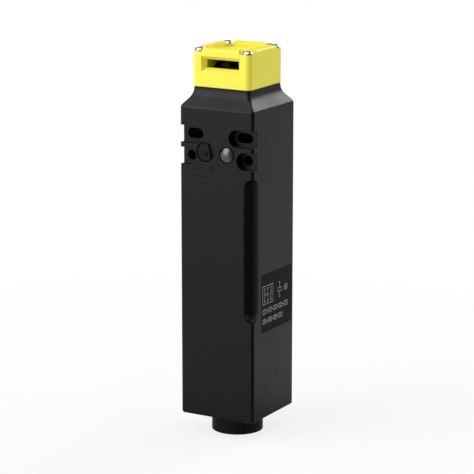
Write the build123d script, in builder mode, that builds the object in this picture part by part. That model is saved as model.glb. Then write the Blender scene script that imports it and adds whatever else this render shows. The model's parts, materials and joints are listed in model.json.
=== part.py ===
"""Tongue interlock switch with guard locking, as separate pieces in millimetres.

The origin is the centre of the conduit entry's mouth. +Z is up, and the front, with the
tongue's slot, the release dial and the lamp, faces -Y. The label is on the +X side, the
wiring cover on the -X side, and the rear face at +Y is the one that is screwed to a guard.
"""

from build123d import *
import math
import os

os.makedirs("parts", exist_ok=True)

# General clearances
gap = 0.3
running_fit = 0.05
seat_fit = 0.02

# Body: outer form
body_width = 43.0
body_corner_radius = 1.6
body_bottom_radius = 1.6
box_height = 161.9
boss_radius = 13.4
boss_height = 10.4
neck_inset = 5.0
neck_rise = 10.2
shoulder_radius = 2.0
flare_radius = 8.5
flare_angle = 40.0

# Body: walls and inner spaces
side_wall = 2.5
floor_wall = 2.6
cover_wall = 5.5
cavity_below_shoulder = 34.3
rod_space_below_shoulder = 9.3
rod_space_half_width = 8.2
front_wall_at_dial = 5.0

# Corner flute
flute_radius = 5.3
flute_above_box_bottom = 53.2
flute_above_cavity = 1.0
flute_wall = 2.4

# Mounting holes for M5, through the body from front to back
mount_hole_radius = 2.6
slot_x = 14.55
slot_travel = 3.9
slot_below_shoulder = 13.4
round_hole_x = 16.5
round_hole_below_shoulder = 24.7
pocket_depth = 4.2
upper_pocket_radius = 4.55
upper_pocket_beside_slot = 2.7
lower_pocket_radius = 4.5
lower_pocket_beside_hole = 0.2

# Conduit entry, M20 x 1.5
conduit_radius = 9.2

# Head
head_overhang = 0.5
head_corner_radius = 3.0
head_height = 19.6
head_edge_radius = 1.2
gasket_thickness = 0.6
head_recess_width = 25.0
head_recess_depth = 2.6
head_screw_inset = 3.2
screw_pad_radius = 4.4
screw_pad_depth = 1.9
pad_corner_radius = 1.5
slot_width = 18.7
slot_height = 4.3
slot_above_shaft = 6.65
funnel_width = 22.7
funnel_height = 7.9
funnel_depth = 2.4
chamber_width = 20.8
chamber_front = -13.4
chamber_rear = 12.0
chamber_height = 14.6

# Cam and shaft
shaft_y = 1.0
shaft_radius = 1.75
shaft_length = 27.6
shaft_above_foot = 5.1
cam_turn = 60.0
hub_radius = 3.6
horn_radius = 8.5
horn_tip_radius = 1.1
horn_root_radius = 2.4
cheek_radius = 7.6
cheek_thickness = 0.7
horn_hub_radius = 4.4
rear_horn_angle = 20.0
front_horn_angle = -64.0
lobe_inner_x = 3.2
lobe_outer_x = 7.4
lock_disc_radius = 8.0
disc_ring_radius = 5.6
disc_flat = 2.9
notch_gap = 0.4
notch_lead = 0.8
notch_root_radius = 4.7
spiral_start_radius = 5.0
spiral_rise = 3.0
sector_before = 25.0
sector_after = 25.0

# Rods
rod_x = 5.0
rod_radius = 2.0
lock_travel = 3.5
lock_tip_thickness = 2.4
lock_tip_length = 3.6
thin_rod_radius = 1.5
guide_height = 9.4
guide_below_neck = 15.8
guide_rim = 1.2
guide_width = 18.0
guide_depth = 15.0
guide_ledge = 1.4
seal_radius = 3.4
seal_height = 1.5

# Release dial
dial_x = -6.4
dial_below_shoulder = 21.8
dial_well_radius = 5.2
dial_well_depth = 3.2
dial_gap = 0.2
dial_ring_gap = 0.5
dial_base_height = 0.7
dial_grip_height = 2.2
dial_grip_inset = 0.15
dial_chord_offset = 2.5
dial_tilt = 14.6
dial_shaft_radius = 3.0
dial_neck_radius = 1.8
crank_pin_orbit = 4.0
crank_pin_radius = 1.0
crank_radius = 5.1
crank_thickness = 2.0
crank_pin_length = 4.0
crank_space = 2.1
arm_thickness = 4.0
arm_behind_crank = 1.4
arm_rear = 4.5
arm_width = 6.6
arm_offset = 0.5
clip_thickness = 0.6
clip_radius = 4.1
clip_groove_radius = 2.5
clip_opening = 3.2
o_ring_radius = 0.45

# Lamp
lamp_x = 6.2
lamp_below_shoulder = 22.2
lamp_ring_radius = 4.35
lamp_ring_depth = 1.2
lens_radius = 3.6
lens_flange_radius = 4.6
lens_flange_thickness = 1.0
lens_dome_height = 0.9
lens_gasket_thickness = 0.5
led_radius = 2.0
led_length = 3.6
lamp_board_width = 6.0
lamp_board_height = 17.0
lamp_board_x = 4.8
board_thickness = 1.6
lamp_post_radius = 1.3
lamp_post_z = 7.0

# Switch block
block_height = 27.0
block_half_width = 11.0
block_front_margin = 9.5
block_rear_margin = 6.5
block_floor = 3.0
block_ceiling = 2.5
block_side = 1.8
block_partition = 1.6
block_rear_wall = 4.4
block_cover_thickness = 1.5
block_rod_clearance = 0.5
module_screw_inset = 2.1
module_screw_offsets = (5.0, 16.0)
module_boss_radius = 3.2
module_screw_length = 27.5
carrier_width = 7.0
carrier_depth = 6.0
rod_socket_depth = 2.8
bridge_end_margin = 1.1
bridge_spacing = 9.0
bridge_socket_gap = 0.4
carrier_foot = 1.5
spring_pin_length = 2.0
bridge_width = 3.0
bridge_thickness = 0.6
button_radius = 1.2
button_height = 0.5
strip_thickness = 0.8
strip_reach = 9.0

# Solenoid
solenoid_above_terminals = 6.0
shelf_thickness = 2.3
shelf_overlap = 5.0
rib_width = 2.4
yoke_margin = 3.5
yoke_depth_margin = 10.0
yoke_plate = 2.5
yoke_side = 2.0
armature_share = 0.47
armature_drop = 2.4
armature_base = 7.4
tube_wall = 0.4
bobbin_wall = 0.8
bobbin_flange_thickness = 1.5
bobbin_flange_gap = 0.2
coil_below_flange = 0.4
pole_length = 11.5
pole_neck_radius = 3.5

# Springs
spring_wire = 0.32
plunger_spring_radius = 2.3
armature_spring_radius = 2.2
armature_spring_length = 10.0
spring_turns = 4
wire_sides = 6

# Circuit board and terminals on the +X wall
board_side_margin = 7.5
board_below_cavity_top = 2.0
board_above_box_bottom = 12.6
board_neck_below_block = 4.0
board_notch = 8.0
terminal_rows = 2
terminal_columns = 5
terminal_row_pitch = 16.0
terminal_block_depth = 11.6
terminal_block_height = 32.0
terminal_block_above_box_bottom = 13.6
terminal_block_y = 1.0
terminal_overhang = 0.3
terminal_side_wall = 0.8
clamp_size = 4.0
clamp_depth = 7.0
clamp_cage_depth = 4.6
clamp_wall = 0.7
terminal_screw_radius = 1.9
terminal_head_height = 1.8
terminal_shank_length = 2.2
terminal_blade_width = 0.7

# Wiring cover on the -X side
cover_side_margin = 3.3
cover_above_box_bottom = 5.1
cover_below_cavity_top = 1.3
cover_depth = 3.0
cover_gasket_thickness = 0.6
cover_frame = 4.2
cover_opening_margin = 6.5
cover_corner_radius = 3.0
cover_screw_inset = 2.8
cover_boss_radius = 3.8
cover_boss_length = 4.7
cover_rim_height = 1.4
cover_rim_width = 0.8
cover_head_recess = 1.9
cover_screw_length = 7.0

# Label on the +X side
label_side_margin = 5.5
label_height = 31.0
label_y = 3.0
label_above_box_bottom = 61.8
label_thickness = 0.2
label_sunk = 0.05

# Screws
m3_radius = 1.5
m3_pilot_radius = 1.52
m3_clearance_radius = 1.7
m3_head_radius = 2.85
m3_head_height = 1.85
head_screw_length = 27.0

# Derived positions
half = body_width / 2
box_bottom = boss_height
shoulder_z = box_bottom + box_height
neck_width = body_width - 2 * neck_inset
neck_z = shoulder_z + neck_rise
cavity_top = shoulder_z - cavity_below_shoulder
rod_space_top = shoulder_z - rod_space_below_shoulder
flute_bottom = box_bottom + flute_above_box_bottom
flute_top = cavity_top + flute_above_cavity
slot_z = shoulder_z - slot_below_shoulder
round_hole_z = shoulder_z - round_hole_below_shoulder
upper_pocket_centre_x = slot_x - upper_pocket_beside_slot
lower_pocket_centre_x = round_hole_x - lower_pocket_beside_hole
dial_z = shoulder_z - dial_below_shoulder
lamp_z = shoulder_z - lamp_below_shoulder
guide_bottom = neck_z - guide_below_neck
head_width = neck_width + 2 * head_overhang
head_screw_x = head_width / 2 - head_screw_inset
head_foot = neck_z + gasket_thickness
head_top = head_foot + head_height
shaft_z = head_foot + shaft_above_foot
slot_z_head = shaft_z + slot_above_shaft
cavity_bottom = box_bottom + floor_wall
cover_width = body_width - 2 * cover_side_margin
cover_bottom = box_bottom + cover_above_box_bottom
cover_top = cavity_top - cover_below_cavity_top
cover_length = cover_top - cover_bottom
cover_opening_width = cover_width - 2 * cover_frame
cover_mid_z = cover_bottom + cover_length / 2
opening_height = cover_length - 2 * cover_opening_margin
pad_z = head_top - screw_pad_depth
lock_tip_z = shaft_z - lock_disc_radius - 0.5
plunger_tip_z = shaft_z - spiral_start_radius - gap
dial_bore_inner_y = -half + front_wall_at_dial
crank_y = dial_bore_inner_y + crank_space
arm_front = crank_y + crank_thickness + arm_behind_crank
crank_pin_low = dial_z - crank_pin_orbit / 2 - crank_pin_radius
arm_top = crank_pin_low - lock_travel - gap
block_bottom = cavity_top - 1.0 - block_height
block_top = block_bottom + block_height
block_front = -half + block_front_margin
block_rear = half - block_rear_margin
module_screw_y = block_rear - module_screw_inset
base_front = block_front + block_cover_thickness
chamber_rear_y = block_rear - block_rear_wall
bridge_half_length = chamber_rear_y - shaft_y - bridge_end_margin
contact_y = bridge_half_length - button_radius + 0.1
lock_x = -rod_x
terminal_block_bottom = box_bottom + terminal_block_above_box_bottom
yoke_bottom = terminal_block_bottom + terminal_block_height + solenoid_above_terminals
solenoid_height = block_bottom - yoke_bottom
yoke_half_width = lock_x + half - yoke_margin
yoke_half_depth = half - yoke_depth_margin
bobbin_flange_radius = yoke_half_width - yoke_side - bobbin_flange_gap
coil_radius = bobbin_flange_radius - coil_below_flange
armature_radius = coil_radius * armature_share
board_width = body_width - 2 * board_side_margin
board_top = cavity_top - board_below_cavity_top
board_bottom = box_bottom + board_above_box_bottom
board_neck_z = block_bottom - board_neck_below_block
board_neck_width = board_width - board_notch
terminal_block_width = board_width + 2 * terminal_overhang
terminal_pitch = (terminal_block_width - 2 * terminal_side_wall) / terminal_columns
label_width = body_width - 2 * label_side_margin
label_z = box_bottom + label_above_box_bottom
cavity_x0 = -half + cover_wall
cavity_x1 = half - side_wall
cavity_y = half - side_wall
cover_screw_y = cover_width / 2 - cover_screw_inset
cover_screw_z = cover_length / 2 - cover_screw_inset
rib_bottom = yoke_bottom - shelf_thickness - 0.2
module_screw_z = [block_bottom + offset for offset in module_screw_offsets]
lamp_posts = [(lamp_board_x, lamp_z - lamp_post_z), (lamp_board_x, lamp_z + lamp_post_z)]
led_y = dial_bore_inner_y + lens_gasket_thickness + lens_flange_thickness + 0.2
lamp_board_y = led_y + led_length


def save(piece, name):
    """Label a finished piece and write it as its own file."""
    piece.part.label = name
    export_step(piece.part, f"parts/{name}.step")


def body_profile():
    """Front view of the body's half outline, with the shoulder and the concave flare."""
    inset = half - neck_width / 2
    turn = math.radians(flare_angle)
    convex_x = shoulder_radius * (1 - math.cos(turn))
    convex_z = shoulder_radius * math.sin(turn)
    concave_x = flare_radius * (1 - math.cos(turn))
    concave_z = flare_radius * math.sin(turn)
    run_x = inset - convex_x - concave_x
    run_z = run_x / math.tan(turn)
    p1 = (half, shoulder_z)
    p2 = (half - convex_x, shoulder_z + convex_z)
    p3 = (p2[0] - run_x, p2[1] + run_z)
    p4 = (p3[0] - concave_x, p3[1] + concave_z)
    with BuildSketch(Plane.XZ, mode=Mode.PRIVATE) as profile:
        with BuildLine():
            Line((0, box_bottom), (half, box_bottom))
            Line((half, box_bottom), p1)
            RadiusArc(p1, p2, -shoulder_radius)
            Line(p2, p3)
            RadiusArc(p3, p4, flare_radius)
            Line(p4, (neck_width / 2, neck_z))
            Line((neck_width / 2, neck_z), (0, neck_z))
            mirror(about=Plane.YZ)
        make_face()
    return profile.sketch


# Body housing
with BuildPart() as body_housing:
    outline = body_profile()
    extrude(outline, amount=half, both=True)
    extrude(outline.rotate(Axis.Z, 90), amount=half, both=True, mode=Mode.INTERSECT)
    corners = body_housing.edges().filter_by(
        lambda e: abs(abs(e.center().X) - abs(e.center().Y)) < 0.01 and abs(e.center().X) > neck_width / 4
    )
    fillet(corners, body_corner_radius)
    fillet(body_housing.faces().sort_by(Axis.Z)[0].edges(), body_bottom_radius)
    with BuildSketch(Plane.XY):
        Circle(boss_radius)
    extrude(amount=cavity_bottom)

    # Inner space, kept clear of the flute
    with BuildSketch(Plane.XY.offset(cavity_bottom)):
        with Locations(((cavity_x0 + cavity_x1) / 2, 0)):
            Rectangle(cavity_x1 - cavity_x0, 2 * cavity_y)
        with Locations((half, -half)):
            Circle(flute_radius + flute_wall, mode=Mode.SUBTRACT)
    extrude(amount=cavity_top - cavity_bottom, mode=Mode.SUBTRACT)

    # Space for the two rods, the dial's crank and the lamp
    with BuildSketch(Plane.XY.offset(cavity_top - 1)):
        Rectangle(2 * rod_space_half_width, -2 * dial_bore_inner_y)
    extrude(amount=rod_space_top - cavity_top + 1, mode=Mode.SUBTRACT)
    with BuildSketch(Plane.XZ.offset(-dial_bore_inner_y)):
        with Locations((dial_x, dial_z)):
            Circle(crank_radius + 0.5)
    extrude(amount=-crank_space - crank_thickness - 0.4, mode=Mode.SUBTRACT)
    with BuildSketch(Plane.XZ.offset(-dial_bore_inner_y)):
        with Locations((lamp_x, lamp_z)):
            Circle(lens_flange_radius + 0.4)
    extrude(amount=dial_bore_inner_y - lamp_board_y - board_thickness, mode=Mode.SUBTRACT)
    with BuildSketch(Plane.XZ.offset(-dial_bore_inner_y)):
        with Locations(*lamp_posts):
            Circle(lamp_post_radius)
    extrude(amount=dial_bore_inner_y - lamp_board_y)

    # Seat of the rod guide, open to the top
    with BuildSketch(Plane.XY.offset(rod_space_top - 1)):
        with Locations((0, shaft_y)):
            Rectangle(guide_width - 2 * guide_ledge, guide_depth - 2 * guide_ledge)
    extrude(amount=guide_bottom - rod_space_top + 2, mode=Mode.SUBTRACT)
    with BuildSketch(Plane.XY.offset(guide_bottom)):
        with Locations((0, shaft_y)):
            Rectangle(guide_width, guide_depth)
    extrude(amount=neck_z - guide_bottom, mode=Mode.SUBTRACT)

    # Opening and rebate of the wiring cover
    with BuildSketch(Plane.YZ.offset(-half)):
        with Locations((0, cover_mid_z)):
            RectangleRounded(cover_width, cover_length, cover_corner_radius)
    extrude(amount=cover_depth, mode=Mode.SUBTRACT)
    with BuildSketch(Plane.YZ.offset(-half)):
        with Locations((0, cover_mid_z)):
            Rectangle(cover_opening_width, opening_height)
    extrude(amount=cover_wall + 1, mode=Mode.SUBTRACT)
    with BuildSketch(Plane.YZ.offset(cavity_x0 + cover_boss_length)):
        with Locations((0, cover_mid_z)):
            with GridLocations(2 * cover_screw_y, 2 * cover_screw_z, 2, 2):
                Circle(cover_boss_radius)
    extrude(amount=-cover_boss_length - 0.5)
    with BuildSketch(Plane.YZ.offset(-half + cover_depth)):
        with Locations((0, cover_mid_z)):
            with GridLocations(2 * cover_screw_y, 2 * cover_screw_z, 2, 2):
                Circle(m3_pilot_radius)
    extrude(amount=cover_wall - cover_depth + cover_boss_length - 0.7, mode=Mode.SUBTRACT)

    # Ribs and shelf that carry the solenoid and the switch block
    rib_front = block_rear - 1.5
    rib_x = block_half_width - 1.5
    with BuildSketch(Plane.XY.offset(rib_bottom)):
        with Locations((-rib_x, (rib_front + cavity_y) / 2), (rib_x, (rib_front + cavity_y) / 2)):
            Rectangle(rib_width, cavity_y - rib_front + 0.4)
    extrude(amount=block_bottom - rib_bottom - 0.2)
    shelf_front = shaft_y + yoke_half_depth - shelf_overlap
    shelf_end = rib_x + rib_width
    with BuildSketch(Plane.XY.offset(rib_bottom)):
        with Locations(((cavity_x0 + shelf_end) / 2, (shelf_front + cavity_y) / 2)):
            Rectangle(shelf_end - cavity_x0 + 0.4, cavity_y - shelf_front + 0.4)
    extrude(amount=shelf_thickness)
    with BuildSketch(Plane.YZ.offset(block_half_width + 0.1)):
        with Locations(*[(module_screw_y, z) for z in module_screw_z]):
            Circle(module_boss_radius)
    extrude(amount=cavity_x1 - block_half_width + 0.3)
    with BuildSketch(Plane.YZ.offset(block_half_width)):
        with Locations(*[(module_screw_y, z) for z in module_screw_z]):
            Circle(m3_pilot_radius)
    extrude(amount=module_screw_length - 2 * block_half_width + 0.5, mode=Mode.SUBTRACT)

    # Mounting holes and their pockets, open to the sides
    with BuildSketch(Plane.XZ.offset(half)):
        with Locations((slot_x, slot_z), (-slot_x, slot_z)):
            SlotCenterToCenter(slot_travel, 2 * mount_hole_radius)
        with Locations((round_hole_x, round_hole_z), (-round_hole_x, round_hole_z)):
            Circle(mount_hole_radius)
    extrude(amount=-body_width, mode=Mode.SUBTRACT)
    pocket_outer_x = half + upper_pocket_radius + 1
    with BuildSketch(Plane.XZ.offset(half)):
        for side in (-1, 1):
            with Locations((side * (upper_pocket_centre_x + pocket_outer_x) / 2, slot_z)):
                SlotCenterToCenter(pocket_outer_x - upper_pocket_centre_x, 2 * upper_pocket_radius)
            with Locations((side * (lower_pocket_centre_x + pocket_outer_x) / 2, round_hole_z)):
                SlotCenterToCenter(pocket_outer_x - lower_pocket_centre_x, 2 * lower_pocket_radius)
    extrude(amount=-pocket_depth, mode=Mode.SUBTRACT)

    # Well and bore of the release dial, ring groove and bore of the lamp
    with BuildSketch(Plane.XZ.offset(half)):
        with Locations((dial_x, dial_z)):
            Circle(dial_well_radius)
    extrude(amount=-dial_well_depth, mode=Mode.SUBTRACT)
    with BuildSketch(Plane.XZ.offset(half)):
        with Locations((dial_x, dial_z)):
            Circle(dial_shaft_radius + running_fit)
        with Locations((lamp_x, lamp_z)):
            Circle(lens_radius + running_fit)
    extrude(amount=-front_wall_at_dial - 0.5, mode=Mode.SUBTRACT)
    with BuildSketch(Plane.XZ.offset(half)):
        with Locations((lamp_x, lamp_z)):
            Circle(lamp_ring_radius)
    extrude(amount=-lamp_ring_depth, mode=Mode.SUBTRACT)

    # Flute on the front right corner, with ball ends
    with Locations((half, -half, (flute_bottom + flute_top) / 2)):
        Cylinder(flute_radius, flute_top - flute_bottom - 2 * flute_radius, mode=Mode.SUBTRACT)
    with Locations((half, -half, flute_bottom + flute_radius), (half, -half, flute_top - flute_radius)):
        Sphere(flute_radius, mode=Mode.SUBTRACT)

    # Conduit entry, head screw pilots and label recess
    with BuildSketch(Plane.XY):
        Circle(conduit_radius)
    extrude(amount=cavity_bottom + 1, mode=Mode.SUBTRACT)
    with BuildSketch(Plane.XY.offset(neck_z)):
        with GridLocations(2 * head_screw_x, 2 * head_screw_x, 2, 2):
            Circle(m3_pilot_radius)
    extrude(amount=-(head_screw_length - (pad_z - neck_z) + 1), mode=Mode.SUBTRACT)
    with BuildSketch(Plane.YZ.offset(half)):
        with Locations((label_y, label_z)):
            Rectangle(label_width, label_height)
    extrude(amount=-(label_thickness + label_sunk), mode=Mode.SUBTRACT)
save(body_housing, "body_housing")

# Label panel
with BuildPart() as rating_label:
    with BuildSketch(Plane.YZ.offset(half - label_sunk - label_thickness)):
        with Locations((label_y, label_z)):
            Rectangle(label_width - 0.1, label_height - 0.1)
    extrude(amount=label_thickness)
save(rating_label, "rating_label")

# Head housing
with BuildPart() as head_housing:
    with BuildSketch(Plane.XY.offset(head_foot)):
        RectangleRounded(head_width, head_width, head_corner_radius)
    extrude(amount=head_height)
    fillet(head_housing.faces().sort_by(Axis.Z)[-1].edges(), head_edge_radius)
    with BuildSketch(Plane.XY.offset(head_top)):
        RectangleRounded(head_recess_width, head_recess_width, pad_corner_radius)
        with GridLocations(2 * head_screw_x, 2 * head_screw_x, 2, 2):
            Circle(screw_pad_radius, mode=Mode.SUBTRACT)
    extrude(amount=-head_recess_depth, mode=Mode.SUBTRACT)
    with BuildSketch(Plane.XY.offset(head_top)):
        with GridLocations(2 * head_screw_x, 2 * head_screw_x, 2, 2):
            Circle(screw_pad_radius)
    extrude(amount=-screw_pad_depth, mode=Mode.SUBTRACT)
    with BuildSketch(Plane.XY.offset(head_top)):
        with GridLocations(2 * head_screw_x, 2 * head_screw_x, 2, 2):
            Circle(m3_clearance_radius)
    extrude(amount=-head_height, mode=Mode.SUBTRACT)
    with BuildSketch(Plane.XZ.offset(head_width / 2)):
        with Locations((0, slot_z_head)):
            Rectangle(funnel_width, funnel_height)
    with BuildSketch(Plane.XZ.offset(head_width / 2 - funnel_depth)):
        with Locations((0, slot_z_head)):
            Rectangle(slot_width, slot_height)
    loft(mode=Mode.SUBTRACT)
    with BuildSketch(Plane.XZ.offset(head_width / 2 - funnel_depth + 0.2)):
        with Locations((0, slot_z_head)):
            Rectangle(slot_width, slot_height)
    extrude(amount=-(head_width / 2 + chamber_front), mode=Mode.SUBTRACT)
    with BuildSketch(Plane.XY.offset(head_foot)):
        with Locations((0, (chamber_front + chamber_rear) / 2)):
            Rectangle(chamber_width, chamber_rear - chamber_front)
    extrude(amount=chamber_height, mode=Mode.SUBTRACT)
    # Seats of the cam shaft, open at the foot
    seat_radius = shaft_radius + seat_fit
    with BuildSketch(Plane.YZ.offset(-shaft_length / 2 - 0.1)):
        with Locations((shaft_y, shaft_z)):
            Circle(seat_radius)
        with Locations((shaft_y, (shaft_z + head_foot) / 2)):
            Rectangle(2 * seat_radius, shaft_z - head_foot)
    extrude(amount=shaft_length + 0.2, mode=Mode.SUBTRACT)
save(head_housing, "head_housing")

# Head gasket
with BuildPart() as head_gasket:
    with BuildSketch(Plane.XY.offset(neck_z)):
        RectangleRounded(neck_width - 0.6, neck_width - 0.6, 2.0)
        with Locations((0, shaft_y)):
            Rectangle(guide_width - 1.6, guide_depth - 1.6, mode=Mode.SUBTRACT)
        with GridLocations(2 * head_screw_x, 2 * head_screw_x, 2, 2):
            Circle(m3_clearance_radius, mode=Mode.SUBTRACT)
    extrude(amount=gasket_thickness)
save(head_gasket, "head_gasket")


def pan_screw(length, head_radius=m3_head_radius, head_height=m3_head_height, shank_radius=m3_radius):
    """Pan-head screw with a cross recess, its seat at the origin and its head towards +Z."""
    with BuildPart(mode=Mode.PRIVATE) as screw:
        with BuildSketch(Plane.XZ) as outline:
            with BuildLine():
                Polyline((0, -length), (shank_radius, -length), (shank_radius, 0), (head_radius, 0))
                Line((head_radius, 0), (head_radius, head_height * 0.35))
                Polyline((head_radius, head_height * 0.35), (head_radius * 0.75, head_height * 0.85),
                         (head_radius * 0.4, head_height), (0, head_height), (0, -length))
            make_face()
        revolve(outline.sketch, axis=Axis.Z)
        with BuildSketch(Plane.XY.offset(head_height)) as cross:
            Rectangle(head_radius * 1.1, head_radius * 0.27)
            Rectangle(head_radius * 0.27, head_radius * 1.1)
        extrude(cross.sketch, amount=-head_height * 0.6, mode=Mode.SUBTRACT)
    return screw.part


# Four head screws
with BuildPart() as head_screws:
    with Locations(Plane.XY.offset(pad_z)):
        with GridLocations(2 * head_screw_x, 2 * head_screw_x, 2, 2):
            add(pan_screw(head_screw_length))
save(head_screws, "head_screws")

# Cam shaft and the caps that close its seats
with BuildPart() as cam_shaft:
    with BuildSketch(Plane.YZ.offset(-shaft_length / 2)):
        with Locations((shaft_y, shaft_z)):
            Circle(shaft_radius)
    extrude(amount=shaft_length)
    chamfer(cam_shaft.edges().filter_by(GeomType.CIRCLE), 0.3)
save(cam_shaft, "cam_shaft")

with BuildPart() as cam_bearing_caps:
    cap_length = (shaft_length - chamber_width) / 2 - 0.1
    cap_top = shaft_z - 1.0
    cap_bottom = head_foot + 0.05
    for x0 in (-shaft_length / 2, shaft_length / 2 - cap_length):
        with BuildSketch(Plane.YZ.offset(x0)):
            with Locations((shaft_y, (cap_bottom + cap_top) / 2)):
                Rectangle(2 * shaft_radius, cap_top - cap_bottom)
            with Locations((shaft_y, shaft_z)):
                Circle(seat_radius, mode=Mode.SUBTRACT)
        extrude(amount=cap_length)
save(cam_bearing_caps, "cam_bearing_caps")


def wedge(start, end, reach):
    """Points of a wedge from the shaft, its angles counted from straight down towards +Y."""
    steps = 4
    points = [(shaft_y, shaft_z)]
    for i in range(steps + 1):
        a = math.radians(start + (end - start) * i / steps)
        points.append((shaft_y + reach * math.sin(a), shaft_z - reach * math.cos(a)))
    return points


def spiral_point(angle):
    """Point of the lobe: its radius grows evenly with the angle, so the rod moves evenly."""
    radius = spiral_start_radius + spiral_rise * angle / cam_turn
    radius = min(radius, spiral_start_radius + spiral_rise * 1.1)
    a = math.radians(angle)
    return (shaft_y + radius * math.sin(a), shaft_z - radius * math.cos(a))


def horn_outline(angle):
    """Straight-sided horn with a round tip, its angle counted from straight up towards +Y."""
    a = math.radians(angle)
    along = (math.sin(a), math.cos(a))
    across = (math.cos(a), -math.sin(a))
    tip_centre = horn_radius - horn_tip_radius

    def place(r, w):
        return (shaft_y + along[0] * r + across[0] * w, shaft_z + along[1] * r + across[1] * w)

    return (
        [place(0, -horn_root_radius * 1.4), place(tip_centre, -horn_tip_radius),
         place(tip_centre, horn_tip_radius), place(0, horn_root_radius * 1.4)],
        place(tip_centre, 0),
    )


def notch_outline(angle):
    """Notch of the locking disc, wider at its mouth, its angle counted from straight down."""
    a = math.radians(angle)
    root = lock_tip_thickness / 2 + notch_gap
    mouth = root + notch_lead
    outer = lock_disc_radius + gap

    def place(r, w):
        return (shaft_y + r * math.sin(a) + w * math.cos(a), shaft_z - r * math.cos(a) + w * math.sin(a))

    return [place(notch_root_radius, -root), place(outer, -mouth),
            place(outer, mouth), place(notch_root_radius, root)]


# Operating cam: two horns for the tongue between two cheeks, and a spiral lobe for the plunger
with BuildPart() as operating_cam:
    hub_half = chamber_width / 2 - gap
    with BuildSketch(Plane.YZ.offset(-hub_half)):
        with Locations((shaft_y, shaft_z)):
            Circle(hub_radius)
    extrude(amount=2 * hub_half)
    with BuildSketch(Plane.YZ.offset(-hub_half)):
        with Locations((shaft_y, shaft_z)):
            Circle(horn_hub_radius)
        for horn_angle in (rear_horn_angle, front_horn_angle):
            sides, tip = horn_outline(horn_angle)
            Polygon(*sides, align=None)
            with Locations(tip):
                Circle(horn_tip_radius)
    extrude(amount=2 * hub_half)
    for x0 in (-hub_half, hub_half - cheek_thickness):
        with BuildSketch(Plane.YZ.offset(x0)):
            with Locations((shaft_y, shaft_z)):
                Circle(cheek_radius)
            Polygon(*wedge(180 - rear_horn_angle, 180 - front_horn_angle, 2 * cheek_radius),
                    align=None, mode=Mode.INTERSECT)
        extrude(amount=cheek_thickness)
    with BuildSketch(Plane.YZ.offset(lobe_inner_x)):
        with BuildLine():
            spiral_angles = range(-int(sector_before), int(cam_turn + sector_after) + 1, 10)
            spiral = [spiral_point(a) for a in spiral_angles]
            Spline(*spiral)
            Line(spiral[-1], (shaft_y, shaft_z))
            Line((shaft_y, shaft_z), spiral[0])
        make_face()
    extrude(amount=lobe_outer_x - lobe_inner_x)
    # Seat of the locking disc: a ring cut down to a hub with one flat
    with BuildSketch(Plane.YZ.offset(-lobe_outer_x - seat_fit)):
        with Locations((shaft_y, shaft_z)):
            Circle(disc_ring_radius + seat_fit)
            Circle(hub_radius, mode=Mode.SUBTRACT)
        with Locations((shaft_y, shaft_z + (disc_flat + hub_radius) / 2)):
            Rectangle(2 * hub_radius, hub_radius - disc_flat)
    extrude(amount=lobe_outer_x - lobe_inner_x + 2 * seat_fit, mode=Mode.SUBTRACT)
    with BuildSketch(Plane.YZ.offset(-hub_half)):
        with Locations((shaft_y, shaft_z)):
            Circle(shaft_radius + running_fit)
    extrude(amount=2 * hub_half, mode=Mode.SUBTRACT)
save(operating_cam, "operating_cam")

# Locking disc: a steel ring with a sector whose two notches take the lock rod's tip
with BuildPart() as locking_disc:
    with BuildSketch(Plane.YZ.offset(-lobe_outer_x)):
        with Locations((shaft_y, shaft_z)):
            Circle(lock_disc_radius)
        Polygon(*wedge(-sector_before, cam_turn + sector_after, 2 * lock_disc_radius),
                align=None, mode=Mode.INTERSECT)
        with Locations((shaft_y, shaft_z)):
            Circle(disc_ring_radius)
            Circle(hub_radius + seat_fit, mode=Mode.SUBTRACT)
        flat_low = shaft_z + disc_flat + seat_fit
        flat_high = shaft_z + (hub_radius + disc_ring_radius) / 2
        with Locations((shaft_y, (flat_low + flat_high) / 2)):
            Rectangle(hub_radius * 1.4, flat_high - flat_low)
        for notch_angle in (0, cam_turn):
            Polygon(*notch_outline(notch_angle), align=None, mode=Mode.SUBTRACT)
    extrude(amount=lobe_outer_x - lobe_inner_x)
save(locking_disc, "locking_disc")

# Block that both rods slide in, and its wipers
with BuildPart() as rod_guide:
    with BuildSketch(Plane.XY.offset(guide_bottom)):
        with Locations((0, shaft_y)):
            RectangleRounded(guide_width - 0.1, guide_depth - 0.1, 0.8)
        with Locations((-rod_x, shaft_y), (rod_x, shaft_y)):
            Circle(rod_radius + running_fit, mode=Mode.SUBTRACT)
    extrude(amount=guide_height)
    with BuildSketch(Plane.XY.offset(guide_bottom + guide_height)):
        with Locations((-rod_x, shaft_y), (rod_x, shaft_y)):
            Circle(seal_radius)
    extrude(amount=-seal_height, mode=Mode.SUBTRACT)
    with BuildSketch(Plane.XY.offset(guide_bottom + guide_height)):
        with Locations((0, shaft_y)):
            RectangleRounded(guide_width - 0.1, guide_depth - 0.1, 0.8)
            Rectangle(guide_width - 2 * guide_rim, guide_depth - 2 * guide_rim, mode=Mode.SUBTRACT)
    extrude(amount=neck_z - guide_bottom - guide_height)
save(rod_guide, "rod_guide")

with BuildPart() as rod_seals:
    with BuildSketch(Plane.XY.offset(guide_bottom + guide_height - seal_height)):
        with Locations((-rod_x, shaft_y), (rod_x, shaft_y)):
            Circle(seal_radius - seat_fit)
            Circle(rod_radius + running_fit, mode=Mode.SUBTRACT)
    extrude(amount=seal_height)
save(rod_seals, "rod_seals")


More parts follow.
